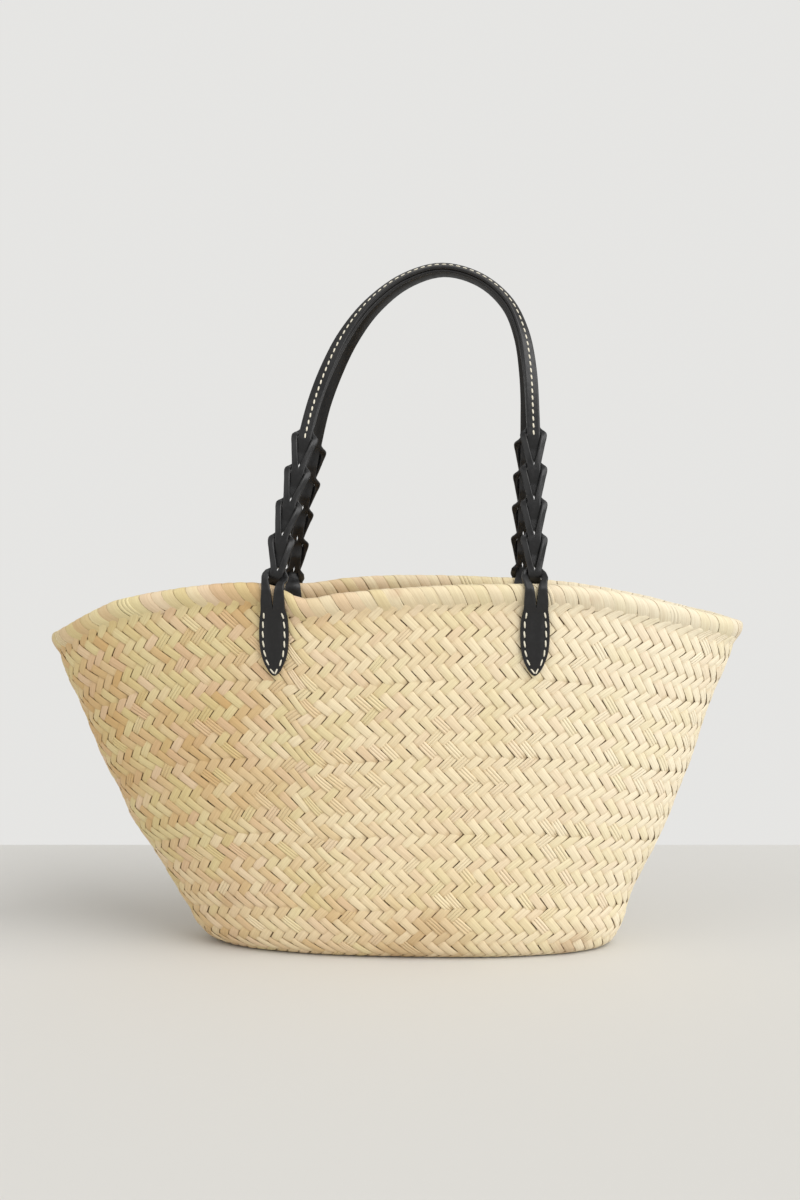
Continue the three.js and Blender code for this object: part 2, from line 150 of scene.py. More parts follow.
# Colours that are mixed into the straw, among them painted shade for the tucked ends and for the gaps
# between pads, the rim's share of the straw's brightness, and the sky
RIM_SHADE = 0.92
PINK_STRAW = (0.78, 0.56, 0.4, 1)
YELLOW_STRAW = (0.74, 0.66, 0.33, 1)
FIBRE_BROWN = (0.45, 0.28, 0.12, 1)
TUCK_SHADE_TAN = (0.5, 0.33, 0.14, 1)
GAP_SHADE_BROWN = (0.3, 0.18, 0.07, 1)
STAIN_BROWN = (0.36, 0.11, 0.05, 1)
WARM_WHITE = (1.0, 0.995, 0.975, 1)

# Studio lights: place and angle
KEY_PLACE, KEY_ANGLE = (1.0, -0.75, 0.97), math.radians(60)
FILL_PLACE, FILL_ANGLE = (-0.9, -0.6, 0.5), math.radians(60)

# Where the plait goes under the roll's wraps: depth under the wall's top, how far it stands off the wall
FLARE = (
    (9.3 * MM, 2.2 * MM),
    (11.6 * MM, 0.9 * MM),
    (14 * MM, 0),
)

# Foot of the wall's plait: how far its sheet stays over the floor, and its radius
FLOOR_CLEARANCE = 0.45 * MM
FOOT_ROUND = 3 * MM

# How far the floor's plait leans out where it climbs the wall, in shares of its climb
EDGE_LEAN = 0.25

# Wall sections: rise, then half width, half depth and shift as shares of the mouth's
WALL_SECTIONS = (
    (0, 0.573, 0.625, 0.038),
    (0.008, 0.586, 0.652, 0.04),
    (0.024, 0.604, 0.69, 0.036),
    (0.06, 0.63, 0.735, 0.03),
    (0.1, 0.645, 0.763, 0.028),
    (0.16, 0.669, 0.785, 0.019),
    (0.21, 0.692, 0.801, 0.017),
    (0.306, 0.741, 0.828, 0.014),
    (0.402, 0.791, 0.856, 0.005),
    (0.498, 0.826, 0.883, 0.004),
    (0.594, 0.866, 0.911, -0.001),
    (0.69, 0.897, 0.938, -0.004),
    (0.787, 0.93, 0.963, -0.004),
    (0.882, 0.969, 0.984, -0.004),
    (1, 1, 1, 0),
)

# Mouth line: place along the half width, then the height in front and behind as shares
MOUTH_LINE = (
    (-1, 0.853, 0.853),
    (-0.95, 0.876, 0.876),
    (-0.88, 0.914, 0.908),
    (-0.78, 0.956, 0.94),
    (-0.54, 0.996, 0.962),
    (-0.36, 1, 0.968),
    (-0.26, 0.963, 0.971),
    (-0.16, 0.976, 0.984),
    (0, 0.989, 0.992),
    (0.2, 0.998, 0.99),
    (0.42, 0.998, 0.981),
    (0.57, 0.985, 0.968),
    (0.75, 0.949, 0.938),
    (0.88, 0.918, 0.908),
    (0.95, 0.901, 0.895),
    (1, 0.884, 0.884),
)

# Route of a handle: place along half the foot spacing, rise as a share of the drop
HANDLE_ROUTE = (
    (-0.97, 0.06),
    (-0.945, 0.15),
    (-0.885, 0.26),
    (-0.825, 0.36),
    (-0.775, 0.46),
    (-0.7, 0.575),
    (-0.6, 0.68),
    (-0.465, 0.785),
    (-0.27, 0.885),
    (0, 0.966),
    (0.3, 1),
    (0.6, 0.968),
    (0.82, 0.893),
    (0.93, 0.8),
    (0.985, 0.68),
    (1.005, 0.52),
    (1.005, 0.36),
    (1, 0.2),
    (0.998, 0.07),
)

# Tab outline: share of the length below the slit's end, share of half the tab's width
TAB_OUTLINE = (
    (0, 0.82),
    (0.16, 0.95),
    (0.34, 1),
    (0.52, 0.98),
    (0.68, 0.88),
    (0.82, 0.67),
    (0.93, 0.41),
    (0.97, 0.27),
    (0.99, 0.15),
    (1, 0.04),
)

# A strip's way over the roll: share of the roll's height below its top, stand-off of roll and wall
OVER_ROLL = (
    (-0.65, -0.2, 0),
    (-0.54, -0.15, 0),
    (-0.36, 0.12, 0),
    (-0.2, 0.42, 0),
    (0, 0.8, 0),
    (0.14, 1.02, 0),
    (0.3, 1.07, 0),
    (0.8, 1.07, 0),
    (0.95, 1.05, 0),
    (1.15, 0.92, 0.1),
    (1.4, 0.5, 0.5),
    (1.8, 0, 1),
)

# One strip of the braid over two pitches, down from the point of a V:
# depth, opening, arm's roll in degrees, share of its width
BRAID_CYCLE = (
    (0, 1, 0, 0, 1),
    (0.15, 0.8, 0, 0, 0.98),
    (0.33, 0, 0, 0, 0.93),
    (0.5, -1, 0, 0, 0.9),
    (0.667, -1, 0, 0, 0.92),
    (0.8, -1, 0, 0, 0.95),
    (0.88, -1, 0.08, 0, 1),
    (0.95, -0.95, 0.4, -6, 1),
    (1.02, -0.75, 0.8, -6, 1),
    (1.08, -0.1, 0.95, 8, 1),
    (1.2, 0.8, 0.9, 28, 1),
    (1.35, 1.4, 0.72, 36, 1),
    (1.55, 1.5, 0.5, 30, 1),
    (1.75, 1.35, 0.27, 20, 1),
    (1.85, 1.2, 0.16, 12, 1),
    (1.95, 1.05, 0.06, 5, 1),
    (2, 1, 0, 0, 1),
)

# Where the tab strip first opens in its cycle, and the roll of its arms over the rim
OPENING_PHASE = 0.6
FOOT_ROLL = math.radians(-12)

# Arms of the tab strip above the slit's end: share of a pitch, slit's opening, share of the tab's width
TAB_ARMS = (
    (0, 0, 1),
    (0.22, 0.1, 0.85),
    (0.43, 0.2, 0.6),
    (0.6, 0.32, 0.4),
    (0.7, 0.58, 0.18),
    (0.8, 0.95, 0),
    (1, 0.72, 0),
)

# Raised shape of a tab across half its width: share of the half width, height
TAB_DOME = (
    (0, 1),
    (0.3, 0.9),
    (0.5, 0.62),
    (0.62, 0.22),
    (0.72, -0.25),
    (0.85, 0),
    (1, 0),
)
DOME_HEIGHT = 1.3 * MM


def smooth(table, column, at):
    """Cubic interpolation through a table's rows, with the rows' mean slopes."""
    last = len(table) - 1
    x = min(max(at, table[0][0]), table[last][0])
    row = 0
    while row < last - 1 and table[row + 1][0] < x:
        row += 1

    def slope(i):
        low = table[max(i - 1, 0)]
        high = table[min(i + 1, last)]
        return (high[column] - low[column]) / (high[0] - low[0])

    span = table[row + 1][0] - table[row][0]
    t = (x - table[row][0]) / span
    rest = 1 - t
    return (
        table[row][column] * (1 + 2 * t) * rest * rest
        + slope(row) * span * t * rest * rest
        + table[row + 1][column] * (3 - 2 * t) * t * t
        - slope(row + 1) * span * t * t * rest
    )


def linear(table, column, at):
    """Straight interpolation through a table's rows."""
    return float(np.interp(at, [row[0] for row in table], [row[column] for row in table]))


def smoothstep(x, low, high):
    t = min(max((x - low) / (high - low), 0), 1)
    return t * t * (3 - 2 * t)


def oval_share(c):
    return math.copysign(abs(c) ** (2 / OVAL_POWER), c)


def wall_top(angle):
    """Height of the wall's top edge at an angle round the oval, 0 at +X."""
    along = oval_share(math.cos(angle))
    s = math.sin(angle)
    front = smooth(MOUTH_LINE, 1, along)
    back = smooth(MOUTH_LINE, 2, along)
    near = front if s < 0 else back
    return MOUTH_HEIGHT * ((front + back) / 2 * (1 - abs(s)) + near * abs(s)) - ROLL_ABOVE_WALL


def outer_ring(angles, rise, tops=None):
    """Points of the wall's outer surface at one rise from 0 to 1, as an array."""
    along = np.array([oval_share(math.cos(a)) for a in angles])
    across = np.array([oval_share(math.sin(a)) for a in angles])
    if tops is None:
        tops = np.array([wall_top(a) for a in angles])
    x = smooth(WALL_SECTIONS, 1, rise) * WALL_HALF_WIDTH * along
    y = smooth(WALL_SECTIONS, 2, rise) * WALL_HALF_DEPTH * across
    turn = BASE_TURN * (1 - rise)
    shift = smooth(WALL_SECTIONS, 3, rise) * WALL_HALF_WIDTH
    return np.stack((
        shift + x * math.cos(turn) - y * math.sin(turn),
        x * math.sin(turn) + y * math.cos(turn),
        tops * rise,
    ), axis=-1)


def outer_point(angle, rise):
    return Vector(outer_ring([angle], rise)[0])


def outer_normal(angle, rise):
    step = 0.01
    around = outer_point(angle + step, rise) - outer_point(angle - step, rise)
    up = outer_point(angle, min(rise + step, 1)) - outer_point(angle, max(rise - step, 0))
    return around.cross(up).normalized()


def unit(vectors):
    return vectors / np.linalg.norm(vectors, axis=-1, keepdims=True)


def grid_normals(points, closed):
    """Normals of a grid of points, rows up and columns round; closed where its two ends meet."""
    around = np.gradient(points, axis=1)
    if closed:
        around[:, 0] = points[:, 1] - points[:, -2]
        around[:, -1] = around[:, 0]
    return unit(np.cross(around, np.gradient(points, axis=0)))


def angle_list(count):
    """Angles once round the oval, the last on top of the first."""
    return [2 * math.pi * i / count for i in range(count + 1)]


def moved_in(ring, distance):
    """A ring of points moved level towards the middle of the base."""
    away = ring - np.array((WALL_SECTIONS[0][3] * WALL_HALF_WIDTH, 0, 0))
    away[:, 2] = 0
    return ring - unit(away) * distance


def wall_grid(count, steps, under, top_rise):
    """Outer surface from a margin under the base, round the foot and up to a rise, as rows of points."""
    angles = angle_list(count)
    tops = np.array([wall_top(a) for a in angles])
    edge = outer_ring(angles, 0, tops) + np.array((0, 0, FLOOR_CLEARANCE))
    rows = [moved_in(edge, under), moved_in(edge, 0.6 * under)]
    for turn in np.linspace(0, math.pi / 2, 8):
        height = FLOOR_CLEARANCE + FOOT_ROUND * (1 - math.cos(turn))
        ring = moved_in(outer_ring(angles, height / MOUTH_HEIGHT, tops), FOOT_ROUND * (1 - math.sin(turn)))
        ring[:, 2] = height
        rows.append(ring)
    start = 1.3 * height / MOUTH_HEIGHT
    rises = [start + (top_rise - start) * (i / steps) ** 1.25 for i in range(steps + 1)]
    below = tops * (1 - np.array([0] * len(rows) + rises)[:, None])
    rows += [outer_ring(angles, rise, tops) for rise in rises]
    points = np.array(rows)
    flare = np.interp(below, [row[0] for row in FLARE], [row[1] for row in FLARE])
    return points + grid_normals(points, True) * flare[..., None]


def sheet_coordinates(points):
    """U as the share of each row's length, V as the share of each column's length, and both lengths."""
    across = np.linalg.norm(np.diff(points, axis=1), axis=-1)
    u = np.concatenate((np.zeros((len(points), 1)), np.cumsum(across, axis=1)), axis=1)
    up = np.linalg.norm(np.diff(points, axis=0), axis=-1)
    v = np.concatenate((np.zeros((1, points.shape[1])), np.cumsum(up, axis=0)), axis=0)
    return u / u[:, -1:], v / v[-1:], u[:, -1], v[-1]


def put_object(name, mesh):
    piece = bpy.data.objects.new(name, mesh)
    bpy.context.scene.collection.objects.link(piece)
    return piece


def mesh_from(name, vertices, faces):
    mesh = bpy.data.meshes.new(name)
    mesh.from_pydata([tuple(v) for v in vertices], [], faces)
    mesh.update()
    return mesh


def store(mesh, name, values, kind="FLOAT_VECTOR"):
    attribute = mesh.attributes.new(name, kind, "POINT")
    field = "vector" if kind == "FLOAT_VECTOR" else "value"
    attribute.data.foreach_set(field, np.asarray(values, dtype=np.float32).ravel())


def grid_faces(rows, columns):
    return [
        (r * columns + c, r * columns + c + 1, (r + 1) * columns + c + 1, (r + 1) * columns + c)
        for r in range(rows - 1)
        for c in range(columns - 1)
    ]


class Sheet:
    """A surface that pads are laid on: a grid with its own flat coordinates and its facing."""

    def __init__(self, name, points, closed=True, keep=None):
        u, v, self.row_lengths, self.column_lengths = sheet_coordinates(points)
        self.v = v.mean(axis=1)
        self.height = float(self.column_lengths.mean())
        rows, columns = points.shape[:2]
        self.mesh = mesh_from(name, points.reshape(-1, 3), grid_faces(rows, columns))
        store(self.mesh, "sheet", np.stack((u, v, np.zeros_like(u)), axis=-1))
        store(self.mesh, "facing", grid_normals(points, closed))
        kept = np.ones(rows * columns) if keep is None else keep.ravel()
        store(self.mesh, "keep", np.stack((kept, kept, kept), axis=-1))

    def length_at(self, v):
        return float(np.interp(v, self.v, self.row_lengths))


class Tree:
    """Builds a node tree: named inputs, nodes, and links or values on their sockets."""

    def __init__(self, name, kind):
        self.tree = bpy.data.node_groups.new(name, kind)
        self.group_in = self.tree.nodes.new("NodeGroupInput")
        self.group_out = self.tree.nodes.new("NodeGroupOutput")

    def input(self, name, kind="NodeSocketFloat", default=None):
        socket = self.tree.interface.new_socket(name, in_out="INPUT", socket_type=kind)
        if default is not None:
            socket.default_value = default
        return self.group_in.outputs[name]

    def output(self, name, kind, source):
        self.tree.interface.new_socket(name, in_out="OUTPUT", socket_type=kind)
        self.tree.links.new(source, self.group_out.inputs[name])

    def put(self, socket, value):
        if isinstance(value, bpy.types.NodeSocket):
            self.tree.links.new(value, socket)
        else:
            socket.default_value = value

    def node(self, kind, inputs=None, **settings):
        node = self.tree.nodes.new(kind)
        for key, value in settings.items():
            setattr(node, key, value)
        for key, value in (inputs or {}).items():
            self.put(node.inputs[key], value)
        return node

    def math(self, operation, *values):
        node = self.node("ShaderNodeMath", operation=operation)
        for socket, value in zip(node.inputs, values):
            self.put(socket, value)
        return node.outputs[0]

    def add(self, a, b):
        return self.math("ADD", a, b)

    def sub(self, a, b):
        return self.math("SUBTRACT", a, b)

    def mul(self, a, b):
        return self.math("MULTIPLY", a, b)

    def div(self, a, b):
        return self.math("DIVIDE", a, b)

    def ramp(self, value, low, high, to_low=0.0, to_high=1.0):
        """A smooth step from one value to another."""
        node = self.node("ShaderNodeMapRange", interpolation_type="SMOOTHSTEP")
        names = ("Value", "From Min", "From Max", "To Min", "To Max")
        for key, setting in zip(names, (value, low, high, to_low, to_high)):
            self.put(node.inputs[key], setting)
        return node.outputs["Result"]

    def vector(self, x, y, z):
        return self.node("ShaderNodeCombineXYZ", {"X": x, "Y": y, "Z": z}).outputs["Vector"]

    def split(self, vector):
        return self.node("ShaderNodeSeparateXYZ", {"Vector": vector}).outputs

    def scale(self, vector, amount):
        node = self.node("ShaderNodeVectorMath", operation="SCALE")
        self.put(node.inputs[0], vector)
        self.put(node.inputs["Scale"], amount)
        return node.outputs["Vector"]

    def noise(self, vector, scale, detail=2.0):
        settings = {"Vector": vector, "Scale": scale, "Detail": detail}
        return self.node("ShaderNodeTexNoise", settings).outputs[0]

    def plus(self, a, b):
        node = self.node("ShaderNodeVectorMath", operation="ADD")
        self.put(node.inputs[0], a)
        self.put(node.inputs[1], b)
        return node.outputs["Vector"]


class Geometry(Tree):
    """A Geometry Nodes tree that starts from its object's mesh and ends in one painted mesh."""

    def __init__(self, name):
        super().__init__(name, "GeometryNodeTree")
        self.start = self.input("Geometry", "NodeSocketGeometry")

    def read(self, name, kind="FLOAT"):
        return self.node("GeometryNodeInputNamedAttribute", {"Name": name}, data_type=kind).outputs[0]

    def store(self, geometry, name, value, kind="FLOAT"):
        inputs = {"Geometry": geometry, "Name": name, "Value": value}
        node = self.node("GeometryNodeStoreNamedAttribute", None, data_type=kind, domain="POINT")
        for key, setting in inputs.items():
            self.put(node.inputs[key], setting)
        return node.outputs[0]

    def random(self, low, high, seed):
        node = self.node("FunctionNodeRandomValue", {"Seed": seed}, data_type="FLOAT")
        self.put(node.inputs[2], low)
        self.put(node.inputs[3], high)
        return node.outputs[1]

    def sample(self, value, place):
        """A vector value of the starting mesh at a place on its flat coordinates."""
        node = self.node("GeometryNodeSampleUVSurface", None, data_type="FLOAT_VECTOR")
        flat = self.read("sheet", "FLOAT_VECTOR")
        for socket, setting in zip(node.inputs, (self.start, value, flat, place)):
            self.put(socket, setting)
        return node.outputs[0]

    def move(self, geometry, key, value):
        """Points put at a Position, or moved by an Offset."""
        return self.node("GeometryNodeSetPosition", {"Geometry": geometry, key: value}).outputs[0]

    def object_mesh(self, source):
        return self.node("GeometryNodeObjectInfo", {"Object": source}).outputs["Geometry"]

    def rotation(self, x, y, z):
        return self.node("FunctionNodeEulerToRotation", {"Euler": self.vector(x, y, z)}).outputs[0]

    def finish(self, geometry):
        material = self.input("Material", "NodeSocketMaterial")
        realized = self.node("GeometryNodeRealizeInstances", {"Geometry": geometry}).outputs[0]
        painted = self.node("GeometryNodeSetMaterial", {"Geometry": realized, "Material": material})
        self.output("Geometry", "NodeSocketGeometry", painted.outputs[0])
        return self.tree


def run_tree(tree, name, start, values):
    """Runs a tree on a mesh and returns the result as an object with a plain mesh."""
    carrier = put_object(name + "_start", start)
    modifier = carrier.modifiers.new("nodes", "NODES")
    modifier.node_group = tree
    sockets = {item.name: item.identifier for item in tree.interface.items_tree if item.in_out == "INPUT"}
    for key, value in values.items():
        modifier[sockets[key]] = value
    depsgraph = bpy.context.evaluated_depsgraph_get()
    mesh = bpy.data.meshes.new_from_object(carrier.evaluated_get(depsgraph))
    mesh.name = name
    bpy.data.objects.remove(carrier)
    mesh.polygons.foreach_set("use_smooth", [True] * len(mesh.polygons))
    return put_object(name, mesh)


def pads_tree():
    """Rows of pads laid in a plait on a sheet, each row leaning the other way from the next.

    The copies are laid out flat, then every vertex is carried to its place on the sheet and raised
    along the sheet's facing by the pad's own height.
    """
    g = Geometry("pads_on_a_sheet")
    pad = g.input("Pad", "NodeSocketObject")
    torn_pad = g.input("Torn Pad", "NodeSocketObject")
    torn_share = g.input("Torn Share", default=0.1)
    columns = g.input("Columns", "NodeSocketInt", 100)
    rows = g.input("Rows", "NodeSocketInt", 6)
    first = g.input("First Row", "NodeSocketInt", 0)
    parity = g.input("Parity", "NodeSocketInt", 0)
    row_height = g.input("Row Height", default=0.009)
    sheet_height = g.input("Sheet Height", default=0.3)
    pitch = g.input("Pitch", default=0.009)
    slant = g.input("Slant", default=0.78)
    jitter = g.input("Jitter", default=0.0)
    turn_jitter = g.input("Turn Jitter", default=0.0)
    height_jitter = g.input("Height Jitter", default=0.0)
    odd_length = g.input("Odd Length", default=1.0)
    odd_lift = g.input("Odd Lift", default=0.0)
    lift = g.input("Lift", default=0.0)
    wobble = g.input("Wobble", default=0.0)
    seed = g.input("Seed", "NodeSocketInt", 1)

    line = g.node("GeometryNodeMeshLine", {"Count": g.mul(columns, rows)}).outputs[0]
    index = g.node("GeometryNodeInputIndex").outputs[0]
    row = g.math("FLOOR", g.div(g.add(index, 0.5), columns))
    column = g.sub(index, g.mul(row, columns))
    level = g.add(row, first)
    odd = g.math("FLOORED_MODULO", g.add(level, parity), 2.0)
    dx = g.random(g.mul(jitter, -1.0), jitter, seed)
    dy = g.random(g.mul(jitter, -1.0), jitter, g.add(seed, 1))
    dz = g.random(g.mul(height_jitter, -1.0), height_jitter, g.add(seed, 2))
    x = g.mul(g.add(column, g.mul(odd, 0.5)), pitch)
    y = g.mul(g.add(level, 0.5), row_height)
    placed = g.move(line, "Position", g.vector(x, y, 0.0))
    placed = g.store(placed, "odd", odd)
    placed = g.store(placed, "tone", g.random(0.0, 1.0, g.add(seed, 3)))
    placed = g.store(placed, "tint", g.random(0.0, 1.0, g.add(seed, 4)))

    spot = g.vector(g.math("FRACT", g.div(x, g.mul(pitch, columns))), g.div(y, sheet_height), 0.0)
    keep = g.sample(g.read("keep", "FLOAT_VECTOR"), spot)
    dropped = g.math("LESS_THAN", g.split(keep)["X"], 0.5)
    placed = g.node("GeometryNodeDeleteGeometry", {"Geometry": placed, "Selection": dropped}).outputs[0]
    turns = g.mul(g.div(x, g.mul(pitch, columns)), 2 * math.pi)
    loop = g.vector(g.math("COSINE", turns), g.math("SINE", turns), g.div(y, sheet_height))
    wander = g.noise(loop, WANDER_SCALE, 1.0)
    dy = g.add(dy, g.mul(g.mul(g.sub(wander, 0.5), WANDER_REACH), wobble))
    kept_odd = g.read("odd")
    dz = g.add(dz, g.mul(kept_odd, odd_lift))
    placed = g.move(placed, "Offset", g.vector(dx, dy, dz))
    lean = g.mul(slant, g.sub(1.0, g.mul(kept_odd, 2.0)))
    turn = g.add(lean, g.random(g.mul(turn_jitter, -1.0), turn_jitter, g.add(seed, 5)))
    whole = g.node("GeometryNodeGeometryToInstance", {"Geometry": g.object_mesh(pad)}).outputs[0]
    torn = g.node("GeometryNodeGeometryToInstance", {"Geometry": g.object_mesh(torn_pad)}).outputs[0]
    both = g.node("GeometryNodeJoinGeometry")
    g.tree.links.new(torn, both.inputs[0])
    g.tree.links.new(whole, both.inputs[0])
    patch = g.noise(loop, SPLIT_PATCH_SCALE, 1.0)
    chance = g.mul(torn_share, g.ramp(patch, 0.45, 0.62, 0.2, 3.0))
    is_torn = g.math("LESS_THAN", g.random(0.0, 1.0, g.add(seed, 6)), chance)
    copies = g.node("GeometryNodeInstanceOnPoints", {
        "Points": placed,
        "Instance": both.outputs[0],
        "Pick Instance": True,
        "Instance Index": is_torn,
        "Rotation": g.rotation(0.0, 0.0, turn),
        "Scale": g.vector(g.add(1.0, g.mul(kept_odd, g.sub(odd_length, 1.0))), 1.0, 1.0),
    }).outputs[0]
    flat = g.node("GeometryNodeRealizeInstances", {"Geometry": copies}).outputs[0]

    place = g.split(g.node("GeometryNodeInputPosition").outputs[0])
    u = g.math("FRACT", g.div(place["X"], g.mul(pitch, columns)))
    v = g.math("MINIMUM", g.math("MAXIMUM", g.div(place["Y"], sheet_height), 0.0005), 0.9995)
    spot = g.vector(u, v, 0.0)
    ground = g.sample(g.node("GeometryNodeInputPosition").outputs[0], spot)
    facing = g.sample(g.read("facing", "FLOAT_VECTOR"), spot)
    raised = g.plus(ground, g.scale(facing, g.add(place["Z"], lift)))
    return g.finish(g.move(flat, "Position", raised))


def pad_mesh(name, size, cells, crown, dive, strands=1, waist=1.0):
    """A closed strip of palm leaf: crowned, with thin edges and with ends that dive under.

    size is length, width and thickness; cells are along and across each strand; waist is the share
    of the width that is left at the ends.
    """
    length, width, thickness = size
    along, across = cells
    vertices, faces, strand_places, edges = [], [], [], []
    strand_width = width / strands
    for strand in range(strands):
        first = len(vertices)
        middle = (strand + 0.5) * strand_width - width / 2
        own = 1 if strands == 1 else 0.97
        ring = across + 3
        for i in range(along + 1):
            s = 2 * i / along - 1
            drop = dive * smoothstep(abs(s), 0.42, 1)
            narrow = 1 - (1 - waist) * abs(s) ** 3
            for j in range(across + 1):
                t = 2 * j / across - 1
                side = math.copysign(math.sin(abs(t) * math.pi / 2) ** 0.7, t)
                y = (middle + side * own * strand_width / 2) * narrow
                bow = crown / strands * abs(side) ** 2.5 + 0.3 * crown * (2 * y / width) ** 2
                vertices.append((s * length / 2, y, -drop - bow))
                strand_places.append((s * length / 2, y, strand))
                # The edge value says where painted shade goes: along the sides in the pad's middle part,
                # and all over its underside.
                shown = smoothstep(s, -0.9, -0.2) * (1 - smoothstep(s, 0.8, 0.95))
                edges.append(abs(side) ** 3 * shown / (1 if strands == 1 else 2))
            for side in (1, -1):
                y = (middle + side * own * strand_width / 2) * narrow
                vertices.append((s * length / 2, y, -drop - crown - thickness))
                strand_places.append((s * length / 2, y, strand))
                edges.append(1)
        for i in range(along):
            for j in range(ring):
                a = first + i * ring + j
                b = first + i * ring + (j + 1) % ring
                faces.append((a, a + ring, b + ring, b))
        faces.append(tuple(first + j for j in range(ring)))
        faces.append(tuple(first + along * ring + j for j in reversed(range(ring))))
    mesh = mesh_from(name, vertices, faces)
    store(mesh, "strand", strand_places)
    store(mesh, "edge", edges, "FLOAT")
    return mesh


def lay_pads(name, tree, sheet, pads, values, material):
    """Lays pads on a sheet and returns the finished object."""
    makers = [put_object(mesh.name, mesh) for mesh in pads]
    inputs = {"Pad": makers[0], "Torn Pad": makers[-1], "Sheet Height": sheet.height, "Material": material}
    inputs.update(values)
    piece = run_tree(tree, name, sheet.mesh.copy(), inputs)
    for maker in makers:
        bpy.data.objects.remove(maker)
    return piece


def lofted(name, rings, first_pole, last_pole):
    """Closed body from rings of points between two poles."""
    count = len(rings[0])
    vertices = [first_pole] + [p for ring in rings for p in ring] + [last_pole]
    last = 1 + (len(rings) - 1) * count
    faces = [(0, 1 + (i + 1) % count, 1 + i) for i in range(count)]
    for r in range(len(rings) - 1):
        for i in range(count):
            low = 1 + r * count
            j = (i + 1) % count
            faces.append((low + i, low + j, low + count + j, low + count + i))
    faces += [(len(vertices) - 1, last + i, last + (i + 1) % count) for i in range(count)]
    return mesh_from(name, vertices, faces)


def rim_frame(angle):
    """Middle of the wall's top edge, with the directions out of the wall and up along it."""
    out = outer_normal(angle, 1)
    middle = outer_point(angle, 1) - out * (WALL / 2)
    up = (outer_point(angle, 1) - outer_point(angle, TOP_RING_RISE)).normalized()
    up = (up - out * up.dot(out)).normalized()
    return middle, out, up


def wall_angle(x, rise, side):
    """Angle round the oval where the front (side -1) or back (side 1) wall stands at x."""
    left, right = side * math.pi, 0.0
    for _ in range(40):
        middle = (left + right) / 2
        if outer_point(middle, rise).x < x:
            left = middle
        else:
            right = middle
    return (left + right) / 2


def wall_middle(x, below, side):
    """Middle of one wall at x, some height below its top edge."""
    top = outer_point(wall_angle(x, 1, side), 1).z
    rise = min(1 - below / top, 1)
    angle = wall_angle(x, rise, side)
    middle = outer_point(angle, rise) - outer_normal(angle, rise) * (WALL / 2)
    middle.z += max(-below, 0)
    return middle


def handle_feet(side):
    """Both feet of a handle: points down the wall under the tab, and the wall's facing there."""
    slit_end = ROLL_ABOVE_WALL - SLIT_END_BELOW_TOP
    heights = [share * (TAB_LENGTH - slit_end) for share in (-0.1, 0, 0.25, 0.5, 0.75, 1)]
    feet = []
    for hand in (-1, 1):
        x = FOOT_SHIFT[side] + hand * FOOT_SPACING / 2
        points = [wall_middle(x, below, side) for below in heights]
        feet.append((points, outer_normal(wall_angle(x, TOP_RING_RISE, side), TOP_RING_RISE)))
    return feet


class Curve:
    """A smooth line through points (centripetal Catmull-Rom), read by its length."""

    def __init__(self, points, samples=60):
        ends = [points[0] * 2 - points[1], points[-1] * 2 - points[-2]]
        line = [ends[0], *points, ends[1]]
        dense = []
        for i in range(1, len(line) - 2):
            p0, p1, p2, p3 = line[i - 1:i + 3]
            d0, d1, d2 = [math.sqrt((b - a).length) for a, b in ((p0, p1), (p1, p2), (p2, p3))]
            t1 = ((p1 - p0) / d0 - (p2 - p0) / (d0 + d1) + (p2 - p1) / d1) * d1
            t2 = ((p2 - p1) / d1 - (p3 - p1) / (d1 + d2) + (p3 - p2) / d2) * d1
            for k in range(samples):
                t = k / samples
                dense.append(
                    p1 * (2 * t ** 3 - 3 * t ** 2 + 1) + t1 * (t ** 3 - 2 * t ** 2 + t)
                    + p2 * (3 * t ** 2 - 2 * t ** 3) + t2 * (t ** 3 - t ** 2)
                )
        dense.append(points[-1])
        self.points = np.array(dense)
        steps = np.linalg.norm(np.diff(self.points, axis=0), axis=1)
        self.distances = np.concatenate(([0], np.cumsum(steps)))
        self.length = float(self.distances[-1])

    def at(self, distance):
        return Vector([float(np.interp(distance, self.distances, self.points[:, k])) for k in range(3)])

    def tangent(self, distance):
        step = 0.4 * MM
        return (self.at(min(distance + step, self.length)) - self.at(max(distance - step, 0))).normalized()


def handle_curve(feet, side):
    """Middle line of a handle, from the tip of the left tab to the tip of the right tab."""
    left, right = feet[0][0], feet[1][0]
    foot_depth = (left[0].y + right[0].y) / 2
    middle = (left[0].x + right[0].x) / 2
    route = [
        Vector((
            middle + along * FOOT_SPACING / 2,
            foot_depth + (side * APEX_DEPTH - foot_depth) * rise ** LEAN_POWER,
            MOUTH_HEIGHT - ROLL_ABOVE_WALL + HANDLE_DROP * rise,
        ))
        for along, rise in HANDLE_ROUTE
    ]
    return Curve([*reversed(left), *route, *right])


def foot_widths(above, order):
    """Slit's half opening and half width of a strip over the roll and down its tab."""
    half = STRIP_WIDTH / 2
    tab_half = TAB_WIDTHS[order] / 2
    if above <= 0:
        return 0, tab_half * smooth(TAB_OUTLINE, 1, -above / TAB_LENGTH)
    up = above / BRAID_PITCH
    root = tab_half * TAB_OUTLINE[0][1]
    share = linear(TAB_ARMS, 2, up)
    inner = linear(TAB_ARMS, 1, up) * (half + SLIT_CLEARANCE) if order == 0 else 0
    return inner, inner + half + (root - half) * share


